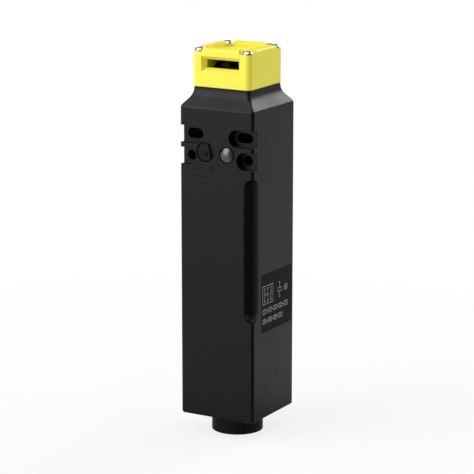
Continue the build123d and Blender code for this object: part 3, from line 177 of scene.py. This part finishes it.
class Surface:
    """A node material with one Principled shader and object-space texture coordinates."""

    # Most of a noise texture's values lie between these
    NOISE_LOW = 0.3
    NOISE_HIGH = 0.7

    def __init__(self, name, colour, roughness, metallic=0.0, specular=0.5):
        self.material = bpy.data.materials.new(name)
        self.material.use_nodes = True
        self.tree = self.material.node_tree
        self.tree.nodes.clear()
        self.colour = colour
        self.roughness = roughness
        self.normal = None
        output = self.add("ShaderNodeOutputMaterial")
        self.shader = self.add("ShaderNodeBsdfPrincipled", Base_Color=(*colour, 1.0), Roughness=roughness,
                               Metallic=metallic, Specular_IOR_Level=specular)
        self.link(self.shader.outputs["BSDF"], output.inputs["Surface"])
        self.place = self.add("ShaderNodeTexCoord").outputs["Object"]

    def add(self, kind, **inputs):
        node = self.tree.nodes.new(kind)
        set_inputs(node, **inputs)
        return node

    def link(self, source, target):
        self.tree.links.new(source, target)

    def noise(self, size, detail, stretch):
        """Noise whose features are about size metres across, with its coordinates scaled along each axis."""
        mapping = self.add("ShaderNodeMapping", Scale=stretch)
        self.link(self.place, mapping.inputs["Vector"])
        node = self.add("ShaderNodeTexNoise", Scale=1.0 / size, Detail=detail)
        self.link(mapping.outputs["Vector"], node.inputs["Vector"])
        return node.outputs["Fac"]

    def mottle(self, size, spread, stretch=(1, 1, 1)):
        """Slow variation of the colour."""
        mix = self.add("ShaderNodeMix")
        mix.data_type = "RGBA"
        for name, factor in (("A", 1 - spread), ("B", 1 + spread)):
            shade = [min(1.0, channel * factor) for channel in self.colour]
            socket = next(s for s in mix.inputs if s.name == name and s.type == "RGBA")
            socket.default_value = (*shade, 1)
        self.link(self.noise(size, detail=3.0, stretch=stretch), mix.inputs["Factor"])
        mixed = next(s for s in mix.outputs if s.type == "RGBA")
        self.link(mixed, self.shader.inputs["Base Color"])
        return self

    def gloss(self, size, spread, stretch=(1, 1, 1)):
        """Slow variation of the roughness."""
        span = self.add("ShaderNodeMapRange", From_Min=self.NOISE_LOW, From_Max=self.NOISE_HIGH,
                        To_Min=self.roughness - spread, To_Max=self.roughness + spread)
        self.link(self.noise(size, detail=4.0, stretch=stretch), span.inputs["Value"])
        self.link(span.outputs["Result"], self.shader.inputs["Roughness"])
        return self

    def grain(self, size, depth, detail=2.0, stretch=(1, 1, 1)):
        """Fine relief: size across and depth high, in metres."""
        bump = self.add("ShaderNodeBump", Strength=1.0, Distance=depth)
        self.link(self.noise(size, detail, stretch), bump.inputs["Height"])
        return self.shade_with(bump)

    def soft_edges(self, radius):
        """Rounds the shading of sharp edges, as a mould does."""
        bevel = self.add("ShaderNodeBevel", Radius=radius)
        bevel.samples = 6
        return self.shade_with(bevel)

    def shade_with(self, node):
        """Put a node after those that already bend the normal."""
        if self.normal:
            self.link(self.normal, node.inputs["Normal"])
        self.normal = node.outputs["Normal"]
        self.link(self.normal, self.shader.inputs["Normal"])
        return self


def black_plastic(name, roughness=0.36, grain=0.006, specular=0.165):
    """Black moulded plastic with a fine spark-eroded texture, its grain's depth in millimetres."""
    made = Surface(name, (0.0042, 0.0043, 0.0047), roughness, specular=specular)
    made.mottle(size=9 * MM, spread=0.25).gloss(size=14 * MM, spread=0.04).soft_edges(radius=0.25 * MM)
    made.grain(size=0.22 * MM, depth=grain * MM, detail=3.0)
    made.grain(size=1.6 * MM, depth=0.006 * MM, detail=1.0)
    return made


def yellow_plastic(name):
    """Yellow moulded plastic, satin, a little uneven as such mouldings are."""
    made = Surface(name, (0.85, 0.765, 0.068), 0.36, specular=0.3)
    made.mottle(size=7 * MM, spread=0.05).gloss(size=5 * MM, spread=0.05).soft_edges(radius=0.35 * MM)
    made.grain(size=0.35 * MM, depth=0.006 * MM)
    made.grain(size=2.5 * MM, depth=0.008 * MM, detail=1.0)
    set_inputs(made.shader, Subsurface_Weight=0.12, Subsurface_Radius=vector_mm(0.9, 0.6, 0.15),
               Subsurface_Scale=1.0)
    return made


def plastic(name, colour, roughness=0.42, specular=0.4):
    """Plain moulded plastic of an inner piece."""
    made = Surface(name, colour, roughness, specular=specular)
    made.mottle(size=5 * MM, spread=0.08).gloss(size=4 * MM, spread=0.06).soft_edges(radius=0.15 * MM)
    made.grain(size=0.3 * MM, depth=0.006 * MM)
    return made


def metal(name, colour, roughness, stretch=(1, 1, 1)):
    """Metal with fine tool marks, drawn out along the axis where stretch is small."""
    made = Surface(name, colour, roughness, metallic=1.0)
    made.mottle(size=3 * MM, spread=0.07, stretch=stretch).gloss(size=2 * MM, spread=0.07, stretch=stretch)
    made.soft_edges(radius=0.12 * MM).grain(size=0.12 * MM, depth=0.003 * MM, detail=3.0, stretch=stretch)
    return made


def rubber(name):
    """Soft black rubber with a dull, dusty face."""
    made = Surface(name, (0.012, 0.012, 0.012), 0.7, specular=0.3)
    made.mottle(size=3 * MM, spread=0.3).gloss(size=2 * MM, spread=0.08)
    made.grain(size=0.15 * MM, depth=0.01 * MM, detail=4.0)
    return made


def see_through(name, colour, roughness, transmission):
    """Tinted translucent plastic."""
    made = Surface(name, colour, roughness, specular=1.0)
    set_inputs(made.shader, Transmission_Weight=transmission, IOR=1.49)
    made.gloss(size=2 * MM, spread=0.04).grain(size=0.8 * MM, depth=0.004 * MM)
    return made


def winding(name):
    """Enamelled copper in level layers. At this scale the wave texture's bands are 3.1 mm high."""
    made = Surface(name, (0.62, 0.27, 0.12), 0.3, metallic=1.0)
    wave = made.add("ShaderNodeTexWave", Scale=100.0, Distortion=0.4)
    wave.bands_direction = "Z"
    made.link(made.place, wave.inputs["Vector"])
    bump = made.add("ShaderNodeBump", Strength=0.9, Distance=0.12 * MM)
    made.link(wave.outputs["Fac"], bump.inputs["Height"])
    made.shade_with(bump)
    made.mottle(size=1.5 * MM, spread=0.2).gloss(size=2 * MM, spread=0.06)
    return made


def print_and_shade_mark(name, grey, roughness, specular, spread):
    """Thin flat mark of one grey: print on the label, painted shade of the dial's sunk lines and pit."""
    made = Surface(name, (grey, grey, grey), roughness, specular=specular)
    return made.mottle(size=0.8 * MM, spread=spread)


MATERIALS = {
    "body": black_plastic("black_moulded"),
    "dial": black_plastic("black_dial", roughness=0.42, grain=0.004, specular=0.12),
    "cover": black_plastic("black_cover", roughness=0.38),
    "yellow": yellow_plastic("yellow_moulded"),
    "rubber": rubber("sealing_rubber"),
    "zinc": metal("bright_zinc", (0.58, 0.58, 0.60), 0.13),
    "steel": metal("turned_steel", (0.56, 0.56, 0.58), 0.3, stretch=(1, 1, 0.2)),
    "cam": black_plastic("black_cam", roughness=0.65, grain=0.004),
    "spring": metal("spring_wire", (0.62, 0.62, 0.62), 0.25),
    "sheet": metal("plated_sheet", (0.66, 0.67, 0.66), 0.34, stretch=(1, 0.15, 1)),
    "brass": metal("contact_brass", (0.78, 0.60, 0.28), 0.28, stretch=(0.2, 1, 1)),
    "nylon": plastic("natural_nylon", (0.70, 0.67, 0.58)),
    "grey": plastic("grey_moulded", (0.11, 0.12, 0.13)),
    "green": plastic("terminal_green", (0.02, 0.20, 0.08), roughness=0.38),
    "board": plastic("circuit_board", (0.008, 0.095, 0.035), roughness=0.3, specular=0.5),
    "film": plastic("label_film", (0.0040, 0.0040, 0.0045), roughness=0.5, specular=0.06),
    "lens": see_through("smoky_lens", (0.010, 0.0105, 0.012), roughness=0.24, transmission=0.05),
    "diode": see_through("diode_resin", (0.75, 0.85, 0.75), roughness=0.1, transmission=0.7),
    "coil": winding("copper_winding"),
    "print": print_and_shade_mark("pale_print", 0.36, roughness=0.5, specular=0.2, spread=0.12),
    # Painted shade: the grip's arrow is a flat near-black mark in place of the shade inside its engraved pit
    "pit_shade": print_and_shade_mark("painted_pit_shade", 0.0006, roughness=0.8, specular=0.0, spread=0.15),
    # Painted shade: flat strokes, near-black for the shade inside the sunk lines they stand for, and shining
    # less
    "groove_shade_line": print_and_shade_mark("groove_shade_line", 0.0012, roughness=0.7, specular=0.08, spread=0.15),
}

NODE_LOOKS = {
    "body_housing": "body", "head_housing": "yellow", "head_gasket": "rubber", "head_screws": "zinc",
    "rating_label": "film", "cam_shaft": "steel", "cam_bearing_caps": "nylon", "operating_cam": "cam",
    "locking_disc": "steel", "rod_guide": "nylon", "rod_seals": "rubber", "operating_plunger": "steel",
    "door_carrier": "nylon", "door_bridges": "brass", "plunger_spring": "spring", "lock_rod": "steel",
    "release_arm": "grey", "lock_carrier": "nylon", "lock_bridges": "brass", "switch_block_base": "grey",
    "switch_block_cover": "grey", "fixed_contacts": "brass", "module_screws": "zinc",
    "solenoid_yoke": "sheet", "solenoid_bobbin": "nylon", "solenoid_coil": "coil",
    "solenoid_tube": "brass", "solenoid_pole": "steel", "armature": "steel", "armature_rod": "steel",
    "armature_spring": "spring", "release_dial": "dial", "release_seal": "rubber",
    "release_clip": "spring", "release_crank": "steel", "indicator_lens": "lens",
    "indicator_gasket": "rubber", "indicator_led": "diode", "indicator_board": "board",
    "main_board": "board", "terminal_block": "green", "terminal_clamps": "sheet",
    "terminal_screws": "zinc", "wiring_cover": "cover", "wiring_cover_gasket": "rubber",
    "wiring_cover_screws": "zinc",
}


def dress_nodes():
    """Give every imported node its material."""
    for node, look in NODE_LOOKS.items():
        for slot in frame["nodes"][node].material_slots:
            slot.material = MATERIALS[look].material


# Pieces

def piece_from(mesh, name, look, body):
    """Turn an edited mesh into a piece that rides on a body."""
    data = bpy.data.meshes.new(name)
    mesh.to_mesh(data)
    mesh.free()
    made = bpy.data.objects.new(name, data)
    bpy.context.scene.collection.objects.link(made)
    data.materials.append(MATERIALS[look].material)
    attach(made, body)


def skin(mesh, rows, closed):
    """Cover the surface between rows of vertices, closed around or not, and both ends."""
    for one, two in zip(rows, rows[1:]):
        count = len(one)
        for i in range(count if closed else count - 1):
            j = (i + 1) % count
            mesh.faces.new((one[i], one[j], two[j], two[i]))
    mesh.faces.new(rows[0])
    mesh.faces.new(list(reversed(rows[-1])))
    bmesh.ops.recalc_face_normals(mesh, faces=mesh.faces)


class FlatMarks:
    """Flat marks drawn in millimetres on a face: u runs right and v up as the reader sees them."""

    def __init__(self, origin, right, up):
        self.origin = origin
        self.right = Vector(right)
        self.up = Vector(up)
        self.out = self.right.cross(self.up)
        self.mesh = bmesh.new()

    def at(self, u, v):
        """Place of a mark's point, lifted off the face."""
        return self.origin + (self.right * u + self.up * v) * MM + self.out * MARK_LIFT

    def area(self, points):
        """Filled outline."""
        self.mesh.faces.new([self.mesh.verts.new(self.at(u, v)) for u, v in points])

    def line(self, points, width, close=False):
        """Stroke of even width through points, mitred at the corners."""
        points = [Vector(point) for point in points]
        count = len(points)
        left, right = [], []
        for i, point in enumerate(points):
            before = points[i - 1] if i > 0 or close else None
            after = points[(i + 1) % count] if i < count - 1 or close else None
            steps = [(b - a).normalized() for a, b in ((before, point), (point, after))
                     if a is not None and b is not None]
            side = sum((Vector((-s.y, s.x)) for s in steps), Vector((0, 0))).normalized()
            cosine = max(MITRE_COSINE, side.dot(Vector((-steps[0].y, steps[0].x))))
            left.append(point + side * (width / 2 / cosine))
            right.append(point - side * (width / 2 / cosine))
        left = [self.mesh.verts.new(self.at(*p)) for p in left]
        right = [self.mesh.verts.new(self.at(*p)) for p in right]
        for i in range(count if close else count - 1):
            j = (i + 1) % count
            self.mesh.faces.new((left[i], right[i], right[j], left[j]))

    def arc(self, centre, radius, start, end, width, steps=16):
        """Stroke along an arc, its angles in degrees from the right, turning left."""
        u, v = centre
        angles = [math.radians(start + (end - start) * i / steps) for i in range(steps + 1)]
        self.line([(u + radius * math.cos(a), v + radius * math.sin(a)) for a in angles], width)

    def ring(self, centre, radius, width):
        """Stroke around a small circle."""
        self.arc(centre, radius, 0, 360, width, steps=14)

    def frame(self, centre, size, stroke):
        """Outline of an upright rectangle."""
        u, v = centre
        half_width, half_height = size[0] / 2, size[1] / 2
        corners = [(-1, -1), (1, -1), (1, 1), (-1, 1)]
        self.line([(u + a * half_width, v + b * half_height) for a, b in corners], stroke, close=True)

    def figures(self, text, u, v, height):
        """Plain figures, centred at (u, v)."""
        curve = bpy.data.curves.new("figures", "FONT")
        curve.body = text
        curve.size = height * FIGURE_FONT_SIZE
        curve.align_x = "CENTER"
        curve.align_y = "CENTER"
        curve.resolution_u = 2
        maker = bpy.data.objects.new("figures", curve)
        bpy.context.scene.collection.objects.link(maker)
        bpy.context.view_layer.update()
        mesh = bpy.data.meshes.new_from_object(maker)
        for vertex in mesh.vertices:
            vertex.co = self.at(u + vertex.co.x, v + vertex.co.y)
        self.mesh.from_mesh(mesh)
        bpy.data.objects.remove(maker)
        bpy.data.curves.remove(curve)
        bpy.data.meshes.remove(mesh)

    def finish(self, name, look, body):
        """Turn every face outwards and make the marks a piece."""
        for face in self.mesh.faces:
            face.normal_update()
            if face.normal.dot(self.out) < 0:
                face.normal_flip()
        piece_from(self.mesh, name, look, body)


def dial_front():
    """Middle of the dial's front, in millimetres."""
    low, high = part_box("release_dial")
    return (low.x + high.x) / 2 / MM, low.y / MM, (low.z + high.z) / 2 / MM


def padlock(marks, u, v, opened):
    """Small padlock with its body's upper edge at (u, v), the shackle swung out when it is open."""
    marks.frame((u, v - PADLOCK_HEIGHT / 2), (PADLOCK_WIDTH, PADLOCK_HEIGHT), DIAL_STROKE)
    middle = u + (OPEN_SHACKLE_SHIFT if opened else 0.0)
    foot = v + (OPEN_SHACKLE_GAP if opened else 0.0)
    left, right, top = middle - SHACKLE_RADIUS, middle + SHACKLE_RADIUS, v + SHACKLE_TOP
    marks.line([(left, foot), (left, top)], DIAL_STROKE)
    marks.arc((middle, top), SHACKLE_RADIUS, 0, 180, DIAL_STROKE, steps=10)
    marks.line([(right, top), (right, v + SHACKLE_END)], DIAL_STROKE)


def dial_marks():
    """Padlocks at the dial's two ends of travel, the arc between them, and the arrow on the grip."""
    centre_u, front_y, centre_v = dial_front()
    marks = FlatMarks(Vector((0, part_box("body_housing")[0].y, 0)), (1, 0, 0), (0, 0, 1))
    for angle, opened in ((PADLOCK_OPEN_ANGLE, True), (PADLOCK_SHUT_ANGLE, False)):
        a = math.radians(angle)
        u, v = centre_u + PADLOCK_REACH * math.cos(a), centre_v + PADLOCK_REACH * math.sin(a)
        padlock(marks, u, v + PADLOCK_RISE, opened)
    marks.arc((centre_u, centre_v), TRAVEL_ARC_REACH, TRAVEL_ARC_START, TRAVEL_ARC_END, DIAL_STROKE)
    # The padlocks and arc are flat strokes, dark with the painted shade of sunk lines
    marks.finish("dial_scale_marks", "groove_shade_line", "switch")

    tilt = math.radians(DIAL_TILT)
    across, along = (math.cos(tilt), 0, math.sin(tilt)), (-math.sin(tilt), 0, math.cos(tilt))
    # Flat near-black arrow, its black the painted shade of an engraved pointer pit
    arrow = FlatMarks(vector_mm(centre_u, front_y, centre_v), across, along)
    arrow.area(GRIP_ARROW)
    arrow.finish("dial_arrow", "pit_shade", "release")


def dial_step():
    """Raised floor of the step beside the dial's grip, a segment of the disc with a broken upper edge."""
    centre_x, front_y, centre_z = dial_front()
    outline = ((STEP_RADIUS, STEP_UNDERSIDE_DEPTH), (STEP_RADIUS, STEP_TOP_DEPTH + STEP_BROKEN_EDGE),
               (STEP_RADIUS - STEP_BROKEN_EDGE, STEP_TOP_DEPTH))
    mesh = bmesh.new()
    rows = []
    for radius, depth in outline:
        half = math.acos(STEP_CHORD / radius)
        row = []
        for i in range(STEP_SEGMENTS + 1):
            a = math.radians(DIAL_TILT) + half * (2 * i / STEP_SEGMENTS - 1)
            x, z = centre_x + radius * math.cos(a), centre_z + radius * math.sin(a)
            row.append(mesh.verts.new(vector_mm(x, front_y + depth, z)))
        rows.append(row)
    skin(mesh, rows, closed=True)
    piece_from(mesh, "dial_step", "dial", "release")


def lead(marks, u, start, end):
    """Upright lead of a wiring diagram with its terminal beyond the end."""
    marks.line([(u, start), (u, end)], LABEL_STROKE)
    beyond = math.copysign(TERMINAL_RADIUS, end - start)
    marks.ring((u, end + beyond), TERMINAL_RADIUS, LABEL_STROKE)


def contact_symbol(marks, u, v, closed):
    """Contact of a wiring diagram, standing upright, with its two terminals."""
    lead(marks, u, v + CONTACT_GAP, v + CONTACT_LEAD_END)
    lead(marks, u, v - CONTACT_GAP, v - CONTACT_LEAD_END)
    lean = BLADE_LEAN_CLOSED if closed else BLADE_LEAN_OPEN
    marks.line([(u, v - CONTACT_GAP), (u + lean, v + BLADE_TIP)], LABEL_STROKE)
    if closed:
        stop_v = v + CONTACT_GAP
        marks.line([(u + BLADE_STOP_START, stop_v), (u + BLADE_STOP_END, stop_v)], LABEL_STROKE)


def terminal_row(marks, first_u, v, numbers):
    """Row of boxed terminal numbers, each joined to the one before."""
    half = NUMBER_BOX[0] / 2
    for i, number in enumerate(numbers):
        u = first_u + i * NUMBER_PITCH
        marks.frame((u, v), NUMBER_BOX, LABEL_STROKE)
        marks.figures(number, u, v, NUMBER_HEIGHT)
        if i:
            marks.line([(u - NUMBER_PITCH + half, v), (u - half, v)], LABEL_STROKE)


def label_marks():
    """Generic wiring diagram with plain figures on the label's face."""
    low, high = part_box("rating_label")
    marks = FlatMarks(Vector((high.x, (low.y + high.y) / 2, (low.z + high.z) / 2)), (0, 1, 0), (0, 0, 1))
    left = -(high.y - low.y) / 2 / MM + LABEL_MARGIN

    contacts_u, reach = left + CONTACTS_U, CONTACTS_SIZE[0] / 2 - CONTACT_TIE_INSET
    marks.frame((contacts_u, DIAGRAM_V), CONTACTS_SIZE, LABEL_STROKE)
    for i, closed in enumerate((True, False, True)):
        contact_symbol(marks, contacts_u + CONTACT_PITCH * (i - 1), DIAGRAM_V, closed)
    marks.line([(contacts_u - reach, DIAGRAM_V), (contacts_u + reach, DIAGRAM_V)], LABEL_STROKE / 2)

    coil_u, lamp_u = left + COIL_U, left + LAMP_U
    marks.frame((coil_u, DIAGRAM_V), COIL_SIZE, LABEL_STROKE)
    marks.ring((lamp_u, DIAGRAM_V), LAMP_RADIUS, LABEL_STROKE)
    for side in (-1, 1):
        lead(marks, coil_u, DIAGRAM_V + side * COIL_SIZE[1] / 2, DIAGRAM_V + side * COIL_LEAD_END)
        marks.line([(lamp_u - LAMP_CROSS, DIAGRAM_V - side * LAMP_CROSS),
                    (lamp_u + LAMP_CROSS, DIAGRAM_V + side * LAMP_CROSS)], LABEL_STROKE)

    for v, numbers in NUMBER_ROWS:
        terminal_row(marks, left + NUMBERS_U, v, numbers)
    marks.finish("label_diagram", "print", "switch")


def conduit_thread():
    """Internal thread of the conduit entry: a ridge that winds up the bore."""
    entry = next(mount["dims"] for mount in frame["record"]["mounts"] if mount["name"] == "conduit_entry")
    root, crest = entry["r_mm"] + THREAD_BITE, entry["r_mm"] - THREAD_DEPTH
    section = ((root, -THREAD_ROOT_HALF), (crest, -THREAD_CREST_HALF), (crest, THREAD_CREST_HALF),
               (root, THREAD_ROOT_HALF))
    turns = int(entry["length_mm"] / THREAD_PITCH)
    mesh = bmesh.new()
    rows = []
    for i in range(turns * THREAD_STEPS + 1):
        a = 2 * math.pi * i / THREAD_STEPS
        z = THREAD_PITCH * (0.5 + i / THREAD_STEPS)
        places = [vector_mm(r * math.cos(a), r * math.sin(a), z + rise) for r, rise in section]
        rows.append([mesh.verts.new(place) for place in places])
    skin(mesh, rows, closed=False)
    piece_from(mesh, "conduit_thread", "body", "switch")


# Stage, light and camera

def stage_floor_material():
    """Diffuse floor. The camera sees it white, with a faint shadow by the switch. Glossy faces see it white,
    with a painted shadow as a darker foot by the switch and a painted dark reflection in one sector, as a
    photographer's black card would give."""
    made = bpy.data.materials.new("pale_floor")
    made.use_nodes = True
    tree = made.node_tree
    tree.nodes.clear()

    def add(kind, **values):
        node = tree.nodes.new(kind)
        for key, value in values.items():
            setattr(node, key, value)
        return node

    def ramp(source, low, high, at_low, at_high):
        node = add("ShaderNodeMapRange", interpolation_type="SMOOTHSTEP")
        set_inputs(node, From_Min=low, From_Max=high, To_Min=at_low, To_Max=at_high)
        tree.links.new(source, node.inputs["Value"])
        return node.outputs["Result"]

    def combine(operation, first, second):
        node = add("ShaderNodeMath", operation=operation)
        tree.links.new(first, node.inputs[0])
        tree.links.new(second, node.inputs[1])
        return node.outputs[0]

    def blend(share, first, second):
        node = add("ShaderNodeMixShader")
        tree.links.new(share, node.inputs["Fac"])
        tree.links.new(first, node.inputs[1])
        tree.links.new(second, node.inputs[2])
        return node.outputs[0]

    place = add("ShaderNodeNewGeometry").outputs["Position"]
    distance = add("ShaderNodeVectorMath", operation="LENGTH")
    tree.links.new(place, distance.inputs[0])
    from_tip = add("ShaderNodeVectorMath", operation="SUBTRACT")
    tree.links.new(place, from_tip.inputs[0])
    from_tip.inputs[1].default_value = DARK_SECTOR_TIP
    heading = add("ShaderNodeVectorMath", operation="NORMALIZE")
    tree.links.new(from_tip.outputs[0], heading.inputs[0])
    facing = add("ShaderNodeVectorMath", operation="DOT_PRODUCT")
    tree.links.new(heading.outputs[0], facing.inputs[0])
    facing.inputs[1].default_value = direction(DARK_SECTOR_AZIMUTH, 0)
    mirrored = add("ShaderNodeEmission")
    # Painted dark reflection in one sector of the floor
    sector = ramp(facing.outputs["Value"], *DARK_SECTOR)
    # Painted shadow of the switch on the floor, as glossy faces see it
    foot = ramp(distance.outputs["Value"], *PAINTED_FOOT_SHADOW)
    tree.links.new(combine("MULTIPLY", sector, foot), mirrored.inputs["Strength"])

    diffuse = add("ShaderNodeBsdfDiffuse")
    diffuse.inputs["Color"].default_value = (*FLOOR_COLOUR, 1)
    white = add("ShaderNodeEmission")
    rays = add("ShaderNodeLightPath")
    through = combine("MAXIMUM", rays.outputs["Is Camera Ray"], rays.outputs["Is Transmission Ray"])
    seen = combine("MULTIPLY", through, ramp(distance.outputs["Value"], *SHADOW_FADE))
    plain = blend(seen, diffuse.outputs[0], white.outputs[0])
    output = add("ShaderNodeOutputMaterial")
    all_rays = blend(rays.outputs["Is Glossy Ray"], plain, mirrored.outputs[0])
    tree.links.new(all_rays, output.inputs["Surface"])
    return made


def build_floor():
    """Pale floor under the conduit boss."""
    data = bpy.data.meshes.new("floor")
    corners = [(-1, -1, 0), (1, -1, 0), (1, 1, 0), (-1, 1, 0)]
    data.from_pydata([Vector(corner) * FLOOR_REACH for corner in corners], [], [(0, 1, 2, 3)])
    floor = bpy.data.objects.new("floor", data)
    bpy.context.scene.collection.objects.link(floor)
    data.materials.append(stage_floor_material())


def build_surround():
    """World that is white to the eye, also through the lens, and dim as a light."""
    world = bpy.data.worlds.new("surround")
    bpy.context.scene.world = world
    world.use_nodes = True
    tree = world.node_tree
    tree.nodes.clear()
    dim, white = (tree.nodes.new("ShaderNodeBackground") for _ in range(2))
    set_inputs(dim, Color=(1, 1, 1, 1), Strength=SURROUND_LIGHT)
    set_inputs(white, Color=(1, 1, 1, 1), Strength=1.0)
    rays = tree.nodes.new("ShaderNodeLightPath")
    seen = tree.nodes.new("ShaderNodeMath")
    seen.operation = "MAXIMUM"
    tree.links.new(rays.outputs["Is Camera Ray"], seen.inputs[0])
    tree.links.new(rays.outputs["Is Transmission Ray"], seen.inputs[1])
    mix = tree.nodes.new("ShaderNodeMixShader")
    tree.links.new(seen.outputs[0], mix.inputs["Fac"])
    tree.links.new(dim.outputs[0], mix.inputs[1])
    tree.links.new(white.outputs[0], mix.inputs[2])
    output = tree.nodes.new("ShaderNodeOutputWorld")
    tree.links.new(mix.outputs[0], output.inputs["Surface"])


def build_lights():
    """Softboxes around the switch, all facing its middle."""
    middle = Vector((0, 0, SOFTBOX_AIM_HEIGHT))
    for name, (azimuth, elevation, distance, width, height, power) in SOFTBOXES.items():
        data = bpy.data.lights.new(name, "AREA")
        data.shape = "RECTANGLE"
        data.size = width
        data.size_y = height
        data.energy = power
        softbox = bpy.data.objects.new(name, data)
        bpy.context.scene.collection.objects.link(softbox)
        out = direction(azimuth, elevation)
        softbox.location = middle + out * distance
        softbox.rotation_euler = (-out).to_track_quat("-Z", "Y").to_euler()


def build_camera():
    """Camera as fitted to the photograph, aimed near the switch's middle line."""
    azimuth = math.radians(CAMERA_AZIMUTH)
    right = Vector((math.cos(azimuth), math.sin(azimuth), 0))
    back = direction(CAMERA_AZIMUTH, CAMERA_ELEVATION)
    up = back.cross(right)
    target = right * CAMERA_SIDE_OFFSET + Vector((0, 0, CAMERA_TARGET_HEIGHT))
    data = bpy.data.cameras.new("photo_camera")
    data.lens = CAMERA_LENS
    data.sensor_width = CAMERA_SENSOR
    data.sensor_fit = "HORIZONTAL"
    camera = bpy.data.objects.new("photo_camera", data)
    bpy.context.scene.collection.objects.link(camera)
    turn = Matrix((right, up, back)).transposed().to_4x4()
    camera.matrix_world = Matrix.Translation(target + back * CAMERA_DISTANCE) @ turn
    bpy.context.scene.camera = camera


bpy.context.scene.view_settings.view_transform = "Standard"
dress_nodes()
dial_marks()
dial_step()
label_marks()
conduit_thread()
build_floor()
build_surround()
build_lights()
build_camera()
